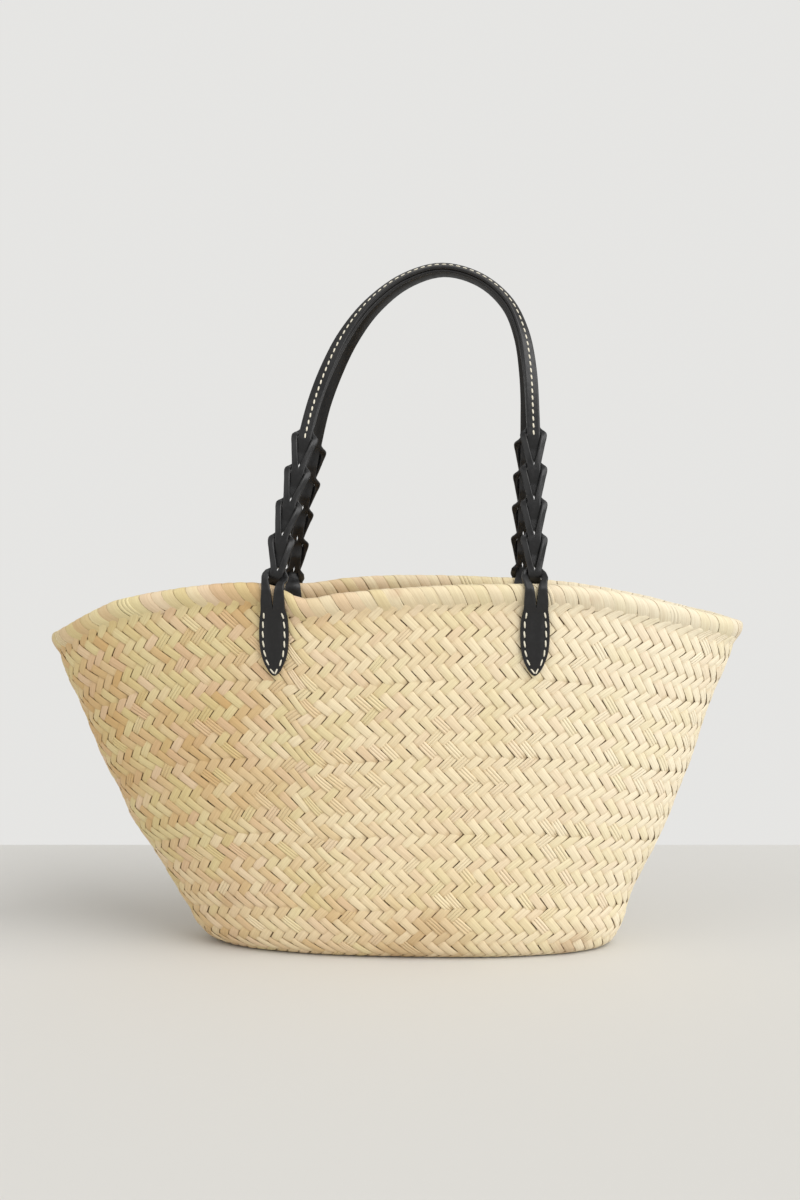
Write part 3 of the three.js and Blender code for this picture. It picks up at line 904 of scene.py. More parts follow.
def strip_state(above, order):
    """A strip's layer, slit's half opening, half width and arm's roll at a height above the slit's end.

    Order 0 is the strip with the tab outside, 1 the one that ends inside the basket.
    """
    layer = (STRIP_THICKNESS + LAYER_GAP) / 2
    half = STRIP_WIDTH / 2
    top_v = BRAID_VS - order
    closed_top = (top_v + 2 - (OPENING_PHASE if order == 0 else 0)) * BRAID_PITCH
    over_roll = ROLL_THICKNESS / 2 + STRIP_THICKNESS / 2 + ROLL_CLEARANCE
    on_wall = WALL / 2 + STRIP_THICKNESS / 2 + TAB_SEAT
    sign = 1 - 2 * order
    roll_down = (SLIT_END_BELOW_TOP - above) / ROLL_HEIGHT
    if above >= closed_top:
        return -sign * layer, 0, half, 0
    if roll_down > OVER_ROLL[0][0]:
        lift = over_roll * linear(OVER_ROLL, 1, roll_down) + on_wall * linear(OVER_ROLL, 2, roll_down)
        inner, outer = foot_widths(above, order)
        roll = FOOT_ROLL * smoothstep(above / BRAID_PITCH, 0.5, 1) if inner > 0 else 0
        return sign * lift, inner, outer, roll
    phase = (2 - order - above / BRAID_PITCH) % 2
    spread = min(max(smooth(BRAID_CYCLE, 2, phase), 0), 1.1)
    inner = spread * (half + SLIT_CLEARANCE)
    inner = 0 if inner < 0.02 * MM else inner
    roll = math.radians(smooth(BRAID_CYCLE, 3, phase)) if inner > 0 else 0
    narrowed = (1 - smooth(BRAID_CYCLE, 4, phase)) * smoothstep(closed_top - above, 0, 0.3 * BRAID_PITCH)
    return layer * smooth(BRAID_CYCLE, 1, phase), inner, inner + half * (1 - narrowed), roll


def strip_stations(length):
    """Distances along a strip: close on the tabs and in the braid, wider apart over the top."""
    braid_top = TAB_LENGTH + (BRAID_VS + 2) * BRAID_PITCH
    close = np.linspace(0, braid_top, 150)
    close = np.concatenate(([0, 0.3 * MM, 0.8 * MM, 1.5 * MM], close[2:]))
    arch = np.linspace(braid_top, length - braid_top, 60)[1:-1]
    return np.concatenate((close, arch, (length - close)[::-1]))


def arm_section(inner, outer, roll, dome):
    """Half of a strip's section as points across and out: front, outer edge, back, inner edge."""
    top = STRIP_THICKNESS / 2
    round_in = min(EDGE_ROUND, inner)
    round_out = min(EDGE_ROUND, (outer - inner) / 3)
    points = [(inner, top - round_in), (inner + 0.3 * round_in, top - 0.3 * round_in)]
    points.append((inner + round_in, top))
    start, end = inner + round_in, outer - round_out
    for share, height in TAB_DOME[1:-1]:
        x = start + (end - start) * share
        points.append((x, top + dome * height))
    points += [(end, top), (outer - 0.3 * round_out, top - 0.3 * round_out), (outer, top - round_out)]
    points += [(outer, round_out - top), (outer - 0.3 * round_out, 0.3 * round_out - top), (end, -top)]
    points += [(start, -top), (inner + 0.3 * round_in, 0.3 * round_in - top), (inner, round_in - top)]
    middle = (inner + outer) / 2
    cos, sin = math.cos(roll), math.sin(roll)
    return [(middle + (x - middle) * cos + z * sin, z * cos - (x - middle) * sin) for x, z in points]


def strip_frames(order, side):
    """Stations of a strip: point, direction across, direction out, and the strip's state there."""
    feet = handle_feet(side)
    curve = handle_curve(feet, side)
    apex = MOUTH_HEIGHT - ROLL_ABOVE_WALL + HANDLE_DROP
    points, normals, states = [], [], []
    distances = strip_stations(curve.length)
    for distance in distances:
        point = curve.at(distance)
        tangent = curve.tangent(distance)
        above = min(distance, curve.length - distance) - TAB_LENGTH
        rise = (point.z - MOUTH_HEIGHT) / (apex - MOUTH_HEIGHT)
        turn = APEX_ROLL * smoothstep(rise, BRAID_TOP_RISE, 1)
        foot = feet[0 if distance < curve.length / 2 else 1][1]
        front = foot.lerp(Vector((0, side, 0)), smoothstep(rise, 0, FACING_RISE))
        front = (front - tangent * front.dot(tangent)).normalized()
        upward = tangent.cross(front) * side
        normal = front * math.cos(turn) + upward * math.sin(turn)
        state = strip_state(above, order)
        points.append(point + normal * state[0])
        normals.append(normal)
        states.append((above, *state[1:]))
    frames = []
    last = len(points) - 1
    for i, (point, normal, state) in enumerate(zip(points, normals, states)):
        tangent = (points[min(i + 1, last)] - points[max(i - 1, 0)]).normalized()
        normal = (normal - tangent * normal.dot(tangent)).normalized()
        frames.append((point, tangent.cross(normal), normal, distances[i], state))
    return frames


def strip_mesh(name, order, side):
    """One leather strip of a handle, slit where its partner passes through."""
    vertices, places, faces = [], [], []
    arms = {-1: [], 1: []}
    opened = []
    for point, across, normal, distance, (above, inner, outer, roll) in strip_frames(order, side):
        on_tab = smoothstep(-above, 0.02 * TAB_LENGTH, 0.2 * TAB_LENGTH)
        on_tab *= smoothstep(above + TAB_LENGTH, 0, 0.35 * TAB_LENGTH)
        dome = DOME_HEIGHT * on_tab
        section = arm_section(inner, outer, roll, dome)
        for hand in (-1, 1):
            arms[hand].append(len(vertices))
            for x, z in section:
                vertices.append(point + across * (hand * x) + normal * z)
                places.append((distance, hand * x, z))
        opened.append(inner > 0)
    count = len(section)
    for i in range(len(opened) - 1):
        for hand in (-1, 1):
            low, high = arms[hand][i], arms[hand][i + 1]
            for j in range(count):
                k = (j + 1) % count
                inside = j == count - 1
                if inside and not (opened[i] or opened[i + 1]):
                    continue
                face = (low + j, low + k, high + k, high + j)
                faces.append(face if hand > 0 else face[::-1])
    for hand in (-1, 1):
        first = tuple(arms[hand][0] + j for j in range(count))
        last = tuple(arms[hand][-1] + j for j in range(count))
        faces.append(first[::-1] if hand > 0 else first)
        faces.append(last if hand > 0 else last[::-1])
    mesh = mesh_from(name, vertices, faces)
    store(mesh, "strand", places)
    builder = bmesh.new()
    builder.from_mesh(mesh)
    bmesh.ops.remove_doubles(builder, verts=builder.verts, dist=0.001 * MM)
    bmesh.ops.dissolve_degenerate(builder, edges=builder.edges, dist=0.001 * MM)
    bmesh.ops.recalc_face_normals(builder, faces=builder.faces)
    builder.to_mesh(mesh)
    builder.free()
    mesh.polygons.foreach_set("use_smooth", [True] * len(mesh.polygons))
    return mesh


def dimmed(colour, share):
    return [c * share for c in colour[:3]] + [1]


class Finish(Tree):
    """Builds a material round one Principled shader."""

    def __init__(self, name):
        self.material = bpy.data.materials.new(name)
        self.material.use_nodes = True
        self.tree = self.material.node_tree
        self.tree.nodes.clear()
        self.shader = self.tree.nodes.new("ShaderNodeBsdfPrincipled")
        output = self.tree.nodes.new("ShaderNodeOutputMaterial")
        self.tree.links.new(self.shader.outputs[0], output.inputs["Surface"])

    def set(self, **sockets):
        """Puts values or links on the shader's sockets, named with _ for a space."""
        for key, value in sockets.items():
            self.put(self.shader.inputs[key.replace("_", " ")], value)
        return self.material

    def group(self, tree, **inputs):
        node = self.tree.nodes.new("ShaderNodeGroup")
        node.node_tree = tree
        for key, value in inputs.items():
            self.put(node.inputs[key.replace("_", " ")], value)
        return node.outputs

    def attribute(self, name):
        return self.node("ShaderNodeAttribute", None, attribute_name=name).outputs

    def bump(self, height, distance, strength=1.0):
        node = self.node("ShaderNodeBump", {"Height": height, "Strength": strength, "Distance": distance})
        return node.outputs["Normal"]

    def mix(self, factor, a, b, blend="MIX"):
        node = self.node("ShaderNodeMix", None, data_type="RGBA", blend_type=blend)
        for index, value in ((0, factor), (6, a), (7, b)):
            self.put(node.inputs[index], value)
        return node.outputs[2]

    def object_place(self):
        return self.node("ShaderNodeTexCoord").outputs["Object"]


def palm_fibre_group():
    """Long fibres of a palm leaf strip: streaks that run along it, finer and coarser together."""
    g = Tree("palm_fibre", "ShaderNodeTree")
    strand = g.input("Strand", "NodeSocketVector")
    tone = g.input("Tone")
    fine = g.input("Fine Streaks", default=2600.0)
    along = g.input("Along", default=45.0)
    parts = g.split(strand)

    def streaks(across_scale, along_scale, offset):
        shifted = g.add(g.mul(tone, 37.0), g.add(parts["Z"], offset))
        vector = g.vector(g.mul(parts["X"], along_scale), g.mul(parts["Y"], across_scale), shifted)
        return g.noise(vector, 1.0)

    thin = streaks(fine, along, 0.0)
    broad = streaks(g.mul(fine, 0.33), g.mul(along, 0.6), 5.0)
    both = g.add(g.mul(thin, 0.55), g.mul(broad, 0.45))
    g.output("Streak", "NodeSocketFloat", g.ramp(both, 0.34, 0.66))
    g.output("Height", "NodeSocketFloat", both)
    return g.tree


def stain_group():
    """A soft round stain at a place, broken up by noise: 1 in it and 0 outside."""
    g = Tree("stain", "ShaderNodeTree")
    place = g.input("Place", "NodeSocketVector")
    centre = g.input("Centre", "NodeSocketVector")
    radius = g.input("Radius", default=0.03)
    away = g.node("ShaderNodeVectorMath", None, operation="DISTANCE")
    g.put(away.inputs[0], place)
    g.put(away.inputs[1], centre)
    reach = g.mul(radius, g.add(0.5, g.noise(place, 60.0)))
    g.output("Mask", "NodeSocketFloat", g.ramp(g.div(away.outputs["Value"], reach), 0.4, 1.1, 1.0, 0.0))
    return g.tree


def leather_grain_group():
    """Fine pebbled grain with a few long creases."""
    g = Tree("leather_grain", "ShaderNodeTree")
    place = g.input("Place", "NodeSocketVector")
    scale = g.input("Scale", default=1400.0)
    cells = g.node("ShaderNodeTexVoronoi", {"Vector": place, "Scale": scale}).outputs["Distance"]
    noise = g.noise(place, g.mul(scale, 0.2), 3.0)
    g.output("Height", "NodeSocketFloat", g.add(g.mul(cells, 0.6), g.mul(noise, 0.8)))
    g.output("Wear", "NodeSocketFloat", g.ramp(noise, 0.4, 0.7))
    return g.tree


def straw_material(name, fibre, stain, colours, shaded, tucked, stains):
    """Palm leaf: each pad has its own tone between two colours, with fibres and a few stains, and painted
    light and shade: paler on the lit right side, darker on the left, at tucked ends and along the gaps
    between pads.
    """
    f = Finish(name)
    strand = f.attribute("strand")["Vector"]
    tone = f.attribute("tone")["Fac"]
    tint = f.attribute("tint")["Fac"]
    place = f.object_place()
    streak = f.group(fibre, Strand=strand, Tone=tone)
    area = f.noise(place, 7.0)
    pale, dark, painted_light_straw = colours
    along = f.split(place)["X"]
    # Painted shade: the side ramp darkens the pads towards the left (-X), the side away from the key
    # light; the next ramp makes the pads' own tone differences stronger there, part real variety and part
    # painted shade.
    side = f.ramp(along, 0.05, -0.2, 0.0, shaded)
    variety_and_shade = f.ramp(along, 0.15, -0.2, 0.6, 1.5)
    depth = f.add(f.mul(f.add(f.mul(tone, 0.3), f.mul(f.ramp(area, 0.35, 0.7), 0.25)), variety_and_shade), side)
    colour = f.mix(f.ramp(depth, 0.0, 1.0), pale, dark)
    # Painted light: the pads grow paler towards the right (+X), the side the key light falls on.
    colour = f.mix(f.ramp(along, 0.02, 0.2, 0.0, 0.55), colour, painted_light_straw)
    yellow = f.mul(f.ramp(f.add(f.mul(tint, 0.5), f.noise(place, 11.0)), 0.75, 1.0, 0.0, 0.4), variety_and_shade)
    colour = f.mix(yellow, colour, YELLOW_STRAW)
    pink = f.mul(f.ramp(tint, 0.25, 0.05, 0.0, 0.32), variety_and_shade)
    colour = f.mix(pink, colour, PINK_STRAW)
    colour = f.mix(f.ramp(streak["Streak"], 0.0, 1.0, 0.22, 0.0), colour, FIBRE_BROWN)
    # Painted shade: darker tan towards the ends of each pad or wrap, where they go under their neighbours;
    # tucked is how far from the middle it begins.
    under = f.ramp(f.math("ABSOLUTE", f.split(strand)["X"]), tucked, 1.7 * tucked, 0.0, 0.28)
    colour = f.mix(under, colour, TUCK_SHADE_TAN)
    # Painted shade: a thin dark line along the sides of each pad, where the gaps between neighbours lie in
    # shadow, and dark hidden undersides.
    edge = f.attribute("edge")["Fac"]
    colour = f.mix(f.ramp(edge, 0.55, 1.0, 0.0, 0.6), colour, GAP_SHADE_BROWN)
    for centre, radius, strength in stains:
        mask = f.group(stain, Place=place, Centre=centre, Radius=radius)["Mask"]
        part = f.mul(mask, f.ramp(tint, 0.3, 0.6, 0.15, 1.0))
        colour = f.mix(f.mul(part, strength), colour, STAIN_BROWN)
    normal = f.bump(streak["Height"], 0.25 * MM, 0.7)
    rough = f.ramp(streak["Streak"], 0.0, 1.0, 0.62, 0.45)
    return f.set(Base_Color=colour, Roughness=rough, Normal=normal, Specular_IOR_Level=0.4)


def leather_material(grain, colour, edge):
    f = Finish("black_leather")
    strand = f.attribute("strand")["Vector"]
    place = f.object_place()
    found = f.group(grain, Place=place, Scale=1500.0)
    pointed = f.node("ShaderNodeNewGeometry").outputs["Pointiness"]
    worn = f.mul(f.ramp(pointed, 0.52, 0.6), f.ramp(f.noise(strand, 90.0), 0.35, 0.6))
    base = f.mix(f.mul(found["Wear"], 0.35), colour, dimmed(colour, 1.7))
    base = f.mix(f.mul(worn, 0.6), base, edge)
    rough = f.ramp(found["Wear"], 0.0, 1.0, 0.3, 0.43)
    normal = f.bump(found["Height"], 0.12 * MM, 0.5)
    return f.set(Base_Color=base, Roughness=rough, Normal=normal, Specular_IOR_Level=0.42)


def thread_material(colour):
    f = Finish("cream_thread")
    place = f.object_place()
    twist = f.noise(place, 2500.0)
    base = f.mix(f.ramp(twist, 0.35, 0.65), colour, dimmed(colour, 0.72))
    return f.set(Base_Color=base, Roughness=0.7, Normal=f.bump(twist, 0.2 * MM, 0.6))


def plain_material(name, colour, roughness):
    f = Finish(name)
    patch = f.noise(f.object_place(), 3.0)
    return f.set(Base_Color=f.mix(f.mul(patch, 0.04), colour, (0.5, 0.5, 0.5, 1)), Roughness=roughness)


def core_material(fibre, colour):
    """Inner layers of straw, seen only through the plait's gaps, coloured dark as painted shade in those
    gaps.
    """
    f = Finish("core_straw")
    place = f.object_place()
    streak = f.group(fibre, Strand=place, Tone=0.0, Fine_Streaks=900.0, Along=900.0)
    base = f.mix(streak["Streak"], dimmed(colour, 0.5), colour)
    return f.set(Base_Color=base, Roughness=0.8, Normal=f.bump(streak["Height"], 0.3 * MM))


def colour_property(name, description, default):
    return bpy.props.FloatVectorProperty(
        name=name, description=description, default=default, size=4, min=0, max=1, subtype="COLOR",
    )


def length_property(name, description, default):
    return bpy.props.FloatProperty(
        name=name, description=description, default=default, min=0, precision=5, unit="LENGTH",
    )


def strength_property(name, description, default):
    return bpy.props.FloatProperty(name=name, description=description, default=default, min=0)


class BagStrawSettings(bpy.types.PropertyGroup):
    """Sizes and colours of the plait and of the wrapped roll."""

    pad_pitch: length_property("Pad pitch", "Distance from pad to pad along a row", 9.3 * MM)
    row_height: length_property("Row height", "Height of one row of the plait", 9.45 * MM)
    pad_thickness: length_property("Pad thickness", "Thickness of a pad's thin edges", 0.35 * MM)
    pad_crown: length_property("Pad crown", "How much higher a pad's middle is than its edges", 0.4 * MM)
    pad_dive: length_property("Pad dive", "How deep a pad's ends go under its neighbours", 1.05 * MM)
    pad_gap: length_property("Pad gap", "Gap between two pads side by side", 0.28 * MM)
    plait_below_top: length_property(
        "Plait below top", "Where the plait starts under the wall's top edge", 9 * MM,
    )
    wobble: length_property("Wobble", "How far the rows wander up and down", 0.9 * MM)
    over_length: bpy.props.FloatProperty(
        name="Over length", description="Length of the pads that lie over the next row, in pads",
        default=1.12, min=1,
    )
    over_lift: length_property("Over lift", "How much higher those pads lie", 0.28 * MM)
    lining_dive: length_property("Lining dive", "How deep a pad's ends go inside the basket", 0.6 * MM)
    skin_depth: length_property("Skin depth", "Depth of the core under the tops of the pads", 1.25 * MM)
    band_rows: bpy.props.IntProperty(
        name="Band rows", description="Rows of pads in one sewn band of the plait", default=6, min=2,
    )
    torn_share: bpy.props.FloatProperty(
        name="Torn share", description="Share of the pads that are split into fine strands",
        default=0.09, min=0, max=1, subtype="FACTOR",
    )
    wrap_pitch: length_property("Wrap pitch", "Distance between the wraps of the roll", 8.9 * MM)
    wrap_lap: length_property("Wrap lap", "How much wider the wraps are than their room", 0.3 * MM)
    wrap_crown: length_property("Wrap crown", "How much higher a wrap is than its edges", 0.27 * MM)
    wrap_slant: bpy.props.FloatProperty(
        name="Wrap slant", description="Lean of the wraps away from the upright",
        default=math.radians(30), subtype="ANGLE",
    )
    pale: colour_property("Pale straw", "Palest pads", (0.9, 0.775, 0.53, 1))
    dark: colour_property("Dark straw", "Darkest pads", (0.64, 0.415, 0.175, 1))
    # Painted light: the colour the pads fade to on the lit right side.
    painted_light_straw: colour_property("Lit straw", "Pads on the lit side", (0.93, 0.87, 0.71, 1))
    # Painted shade: the core is coloured dark so that the gaps between the pads look shadowed.
    core: colour_property("Core straw", "Straw inside the wall", (0.16, 0.09, 0.035, 1))
    seed: bpy.props.IntProperty(name="Seed", description="Seed of the pads' small differences", default=7)


class BagHandleSettings(bpy.types.PropertyGroup):
    """Sizes and colours of the leather handles and their stitches."""

    leather: colour_property("Leather", "Colour of the leather", (0.007, 0.0068, 0.0073, 1))
    edge: colour_property("Worn edge", "Colour of the worn edges", (0.06, 0.055, 0.052, 1))
    thread: colour_property("Thread", "Colour of the thread", (0.9, 0.84, 0.68, 1))
    strap_pitch: length_property("Strap pitch", "Distance from stitch to stitch on a strap", 5.3 * MM)
    strap_stitch: length_property("Strap stitch", "Length of one stitch on a strap", 4 * MM)
    tab_pitch: length_property("Tab pitch", "Distance from stitch to stitch on a tab", 6.1 * MM)
    tab_stitch: length_property("Tab stitch", "Length of one stitch on a tab", 5.3 * MM)
    thread_width: length_property("Thread width", "Width of the thread", 1.3 * MM)
    tab_inset: length_property("Tab inset", "Distance of the stitches from a tab's edge", 2.9 * MM)


class BagStageSettings(bpy.types.PropertyGroup):
    """Camera, floor and lights."""

    camera_place: bpy.props.FloatVectorProperty(
        name="Camera", description="Place of the camera",
        default=(0.002, -1.3, 0.346), subtype="TRANSLATION",
    )
    camera_pitch: bpy.props.FloatProperty(
        name="Camera pitch", description="How far the camera looks down",
        default=math.radians(3.7), subtype="ANGLE",
    )
    lens: bpy.props.FloatProperty(
        name="Lens", description="Focal length on a frame 36 mm high", default=51.33, min=1, unit="CAMERA",
    )
    floor: colour_property("Floor", "Colour of the floor", (0.645, 0.635, 0.61, 1))
    floor_reach: length_property("Floor reach", "How far the floor goes to the front and to the sides", 6)
    floor_back: length_property("Floor back", "How far the floor goes behind the bag", 0.35)
    key: strength_property("Key light", "Strength of the key light", 2.25)
    fill: strength_property("Fill light", "Strength of the fill light", 0.5)
    sky: strength_property("Sky", "Strength of the even light all round", 0.62)
    backdrop: strength_property("Backdrop", "Brightness behind the bag", 0.79)


class Kit:
    """Trees, shader groups and materials that several operators use, made once."""

    def __init__(self):
        scene = bpy.context.scene
        straw, handle, stage = scene.bag_straw, scene.bag_handle, scene.bag_stage
        self.pads = pads_tree()
        self.stitches = stitches_tree()
        fibre, stain, grain = palm_fibre_group(), stain_group(), leather_grain_group()
        colours = straw.pale, straw.dark, straw.painted_light_straw
        # After the colours: share of painted shade on the left side, distance from a pad's middle where
        # the painted shade of its tucked ends begins, and the stains.
        self.palm = straw_material("palm_straw", fibre, stain, colours, 0.3, 4.3 * MM, WALL_STAINS)
        rim_colours = [dimmed(colour, RIM_SHADE) for colour in colours]
        self.rim = straw_material("rim_straw", fibre, stain, rim_colours, 0.1, 17 * MM, RIM_STAINS)
        self.core = core_material(fibre, straw.core)
        self.leather = leather_material(grain, handle.leather, handle.edge)
        self.thread = thread_material(handle.thread)
        self.floor = plain_material("floor", stage.floor, 0.9)


KIT = {}


def kit():
    if "made" not in KIT:
        KIT["made"] = Kit()
    return KIT["made"]


def stitches_tree():
    """Thread stitches along the edges of a mesh that carries its facing, one every pitch."""
    g = Geometry("stitches_on_a_line")
    dash = g.input("Stitch", "NodeSocketObject")
    pitch = g.input("Pitch", default=0.006)
    slant = g.input("Slant", default=0.0)
    line = g.node("GeometryNodeMeshToCurve", {"Mesh": g.start}).outputs[0]
    spots = g.node("GeometryNodeCurveToPoints", {"Curve": line, "Length": pitch}, mode="LENGTH")
    facing = g.read("facing", "FLOAT_VECTOR")
    along = g.node("FunctionNodeAlignRotationToVector", {"Vector": spots.outputs["Tangent"]}, axis="X")
    upright = g.node("FunctionNodeAlignRotationToVector", {
        "Rotation": along.outputs[0], "Vector": facing,
    }, axis="Z", pivot_axis="X")
    turned = g.node("FunctionNodeRotateRotation", {
        "Rotation": upright.outputs[0], "Rotate By": g.rotation(0.0, 0.0, slant),
    }, rotation_space="LOCAL")
    copies = g.node("GeometryNodeInstanceOnPoints", {
        "Points": spots.outputs["Points"],
        "Instance": g.object_mesh(dash),
        "Rotation": turned.outputs[0],
    }).outputs[0]
    return g.finish(copies)


def finish_piece(piece, slot, *replaced):
    """Lets a finished piece ride on the bag's one body and hides the nodes it stands for; its slot is not
    used.
    """
    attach(piece, BODY)
    if replaced:
        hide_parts(*replaced)


def clear_extra(mesh, *kept):
    for name in [a.name for a in mesh.attributes]:
        attribute = mesh.attributes.get(name)
        if attribute and not attribute.is_required and not attribute.is_internal and name not in kept:
            if name not in ("sharp_face", "material_index"):
                mesh.attributes.remove(attribute)


def inner_ring(angles, rise, depth):
    """A ring inside the wall, some depth under its outer surface."""
    return [outer_point(a, rise) - outer_normal(a, rise) * depth for a in angles]


def raise_to(ring, height):
    for point in ring:
        point.z = max(point.z, height)


class BAG_OT_core(bpy.types.Operator):
    """Adds the core wall and base that carry the plait"""

    bl_idname = "bag.add_core"
    bl_label = "Core wall"

    def execute(self, context):
        depth = context.scene.bag_straw.skin_depth
        angles = angle_list(CORE_COLUMNS)[:-1]
        under, floor = depth, BASE_THICKNESS - INSIDE_SKIN * depth
        rings = []
        for rise in OUTER_RISES:
            rings.append(inner_ring(angles, rise, depth if rise else FOOT_SKIN * depth))
            raise_to(rings[-1], under)
        for rise in INNER_RISES:
            rings.append(inner_ring(angles, rise, WALL - INSIDE_SKIN * depth))
            raise_to(rings[-1], floor)
        for ring, height in ((rings[0], under), (rings[-1], floor)):
            for point in ring:
                point.z = height
        centre = WALL_SECTIONS[0][3] * WALL_HALF_WIDTH
        mesh = lofted("basket_core", rings, (centre, 0, under), (centre, 0, floor))
        mesh.materials.append(kit().core)
        finish_piece(put_object("basket_core", mesh), "palm_straw", "basket")
        return {"FINISHED"}


def pad_slant(straw):
    """Lean of the pads at which their rows fit each other."""
    return math.atan2(straw.row_height, straw.pad_pitch)


def pad_size(straw, thickness):
    """Length, width and thickness of a pad that fits its pitch and its row."""
    slant = pad_slant(straw)
    width = straw.pad_pitch * math.sin(slant)
    return PAD_REACH * width / math.sin(2 * slant), width - straw.pad_gap, thickness


def plait_values(straw, pads_pitch, parity):
    return {
        "Parity": parity,
        "Pitch": pads_pitch,
        "Slant": pad_slant(straw),
        "Torn Share": straw.torn_share,
        "Jitter": PAD_SHIFT,
        "Turn Jitter": PAD_TURN,
        "Height Jitter": PAD_LIFT,
        "Wobble": straw.wobble,
    }


def add_bands(sheet, total, prefix, pads, lift, seed):
    """Lays the whole sheet with pads, a band of rows at a time, each with its own count of pads."""
    straw = bpy.context.scene.bag_straw
    row_height = sheet.height / total
    first = 0
    band = 1
    while first < total:
        rows = min(straw.band_rows, total - first)
        middle = (first + rows / 2) / total
        length = sheet.length_at(middle)
        columns = round(length / straw.pad_pitch)
        values = plait_values(straw, length / columns, (total - 1) % 2)
        values.update({
            "Columns": columns,
            "Rows": rows,
            "Odd Length": straw.over_length,
            "Odd Lift": straw.over_lift,
            "First Row": first,
            "Row Height": row_height,
            "Lift": lift,
            "Seed": seed + 10 * band,
        })
        piece = lay_pads(f"{prefix}_{band}", kit().pads, sheet, pads, values, kit().palm)
        clear_extra(piece.data, "strand", "edge", "tone", "tint")
        finish_piece(piece, "palm_straw")
        first += rows
        band += 1


class BAG_OT_wall_plait(bpy.types.Operator):
    """Adds the herringbone plait of the wall's outside"""

    bl_idname = "bag.add_wall_plait"
    bl_label = "Wall plait"

    def execute(self, context):
        straw = context.scene.bag_straw
        top_rise = 1 - straw.plait_below_top / MOUTH_HEIGHT
        sheet = Sheet("wall_sheet", wall_grid(WALL_COLUMNS, WALL_STEPS, UNDER_MARGIN, top_rise))
        size = pad_size(straw, straw.pad_thickness)
        pads = [
            pad_mesh("whole_pad", size, PAD_CELLS, straw.pad_crown, straw.pad_dive),
            pad_mesh("torn_pad", size, SPLIT_CELLS, straw.pad_crown, straw.pad_dive, STRANDS),
        ]
        rows = round(sheet.height / straw.row_height)
        add_bands(sheet, rows, "wall_plait", pads, 0, straw.seed)
        return {"FINISHED"}


class BAG_OT_lining_plait(bpy.types.Operator):
    """Adds the plait of the wall's inside"""

    bl_idname = "bag.add_lining_plait"
    bl_label = "Lining plait"

    def execute(self, context):
        straw = context.scene.bag_straw
        angles = angle_list(LINING_COLUMNS)[::-1]
        rows = [np.array([tuple(p) for p in inner_ring(angles, rise, WALL)]) for rise in LINING_RISES]
        rows = [row for row in rows if row[:, 2].min() > BASE_THICKNESS * 0.6]
        sheet = Sheet("lining_sheet", np.array(rows))
        pad = pad_mesh("lining_pad", pad_size(straw, THIN_PAD), THIN_CELLS, THIN_CROWN, straw.lining_dive)
        count = round(sheet.height / straw.row_height)
        add_bands(sheet, count, "lining_plait", [pad, pad.copy()], 0, straw.seed + 200)
        return {"FINISHED"}


class BAG_OT_base_plait(bpy.types.Operator):
    """Adds the flat plait under the base and on the floor inside"""

    bl_idname = "bag.add_base_plait"
    bl_label = "Base plait"

    def execute(self, context):
        straw = context.scene.bag_straw
        size = pad_size(straw, THIN_PAD)
        pitch, height = straw.pad_pitch, straw.row_height
        half_width = WALL_SECTIONS[0][1] * WALL_HALF_WIDTH
        half_depth = WALL_SECTIONS[0][2] * WALL_HALF_DEPTH
        centre = WALL_SECTIONS[0][3] * WALL_HALF_WIDTH
        sheets = (("base_plait", -1, 0, BASE_INSET), ("floor_plait", 1, BASE_THICKNESS, 0))
        for name, hand, z, inset in sheets:
            columns = math.ceil(2 * half_width / pitch) + 2
            rows = math.ceil(2 * half_depth / height) + 2
            reach_x, reach_y = columns * pitch / 2, rows * height / 2
            x, y = np.meshgrid(np.linspace(-1, 1, 60) * reach_x, np.linspace(-1, 1, 40) * reach_y)
            share = (np.abs(x) / (half_width - inset)) ** OVAL_POWER
            share += (np.abs(y) / (half_depth - inset)) ** OVAL_POWER
            past = np.maximum(share ** (1 / OVAL_POWER), 1) - 1 if hand > 0 else np.zeros_like(share)
            climb = past * np.hypot(x, y) / (1 + past)
            x = x * hand * (1 + EDGE_LEAN * past) / (1 + past)
            y = y * (1 + EDGE_LEAN * past) / (1 + past)
            turned = np.stack((
                centre + x * math.cos(BASE_TURN) - y * math.sin(BASE_TURN),
                x * math.sin(BASE_TURN) + y * math.cos(BASE_TURN),
                z + climb,
            ), axis=-1)
            sheet = Sheet(name + "_sheet", turned, closed=False, keep=(share < 1).astype(float))
            pad = pad_mesh("base_pad", size, THIN_CELLS, THIN_CROWN, straw.lining_dive)
            values = plait_values(straw, pitch, 0)
            values.update({
                "Columns": columns,
                "Rows": rows,
                "Row Height": height,
                "Wobble": 0.0,
                "Height Jitter": 0.0,
                "Torn Share": 0.0,
                "Seed": straw.seed + 400,
            })
            piece = lay_pads(name, kit().pads, sheet, [pad, pad.copy()], values, kit().palm)
            clear_extra(piece.data, "strand", "edge", "tone", "tint")
            finish_piece(piece, "palm_straw")
        return {"FINISHED"}


def roll_section(inset):
    """Half of the roll's section, from its outer foot to its top: distance out, height."""
    half = ROLL_THICKNESS / 2 - inset
    top = ROLL_ABOVE_WALL - inset
    bottom = ROLL_ABOVE_WALL - ROLL_HEIGHT
    return [
        (WALL / 2, bottom - 0.2 * ROLL_HEIGHT),
        (0.45 * half, bottom - 0.04 * ROLL_HEIGHT),
        (0.7 * half, bottom + 0.12 * ROLL_HEIGHT),
        (0.9 * half, bottom + 0.32 * ROLL_HEIGHT),
        (half, bottom + 0.55 * ROLL_HEIGHT),
        (0.94 * half, top - 0.27 * ROLL_HEIGHT),
        (0.8 * half, top - 0.13 * ROLL_HEIGHT),
        (0.6 * half, top - 0.04 * ROLL_HEIGHT),
        (0.3 * half, top),
    ]


def roll_points(count, section):
    """Rings of the roll: for each place of the section, a row of points round the mouth."""
    frames = [rim_frame(a) for a in angle_list(count)]
    return np.array([
        [tuple(middle + out * o + up * h) for middle, out, up in frames]
        for o, h in section
    ])


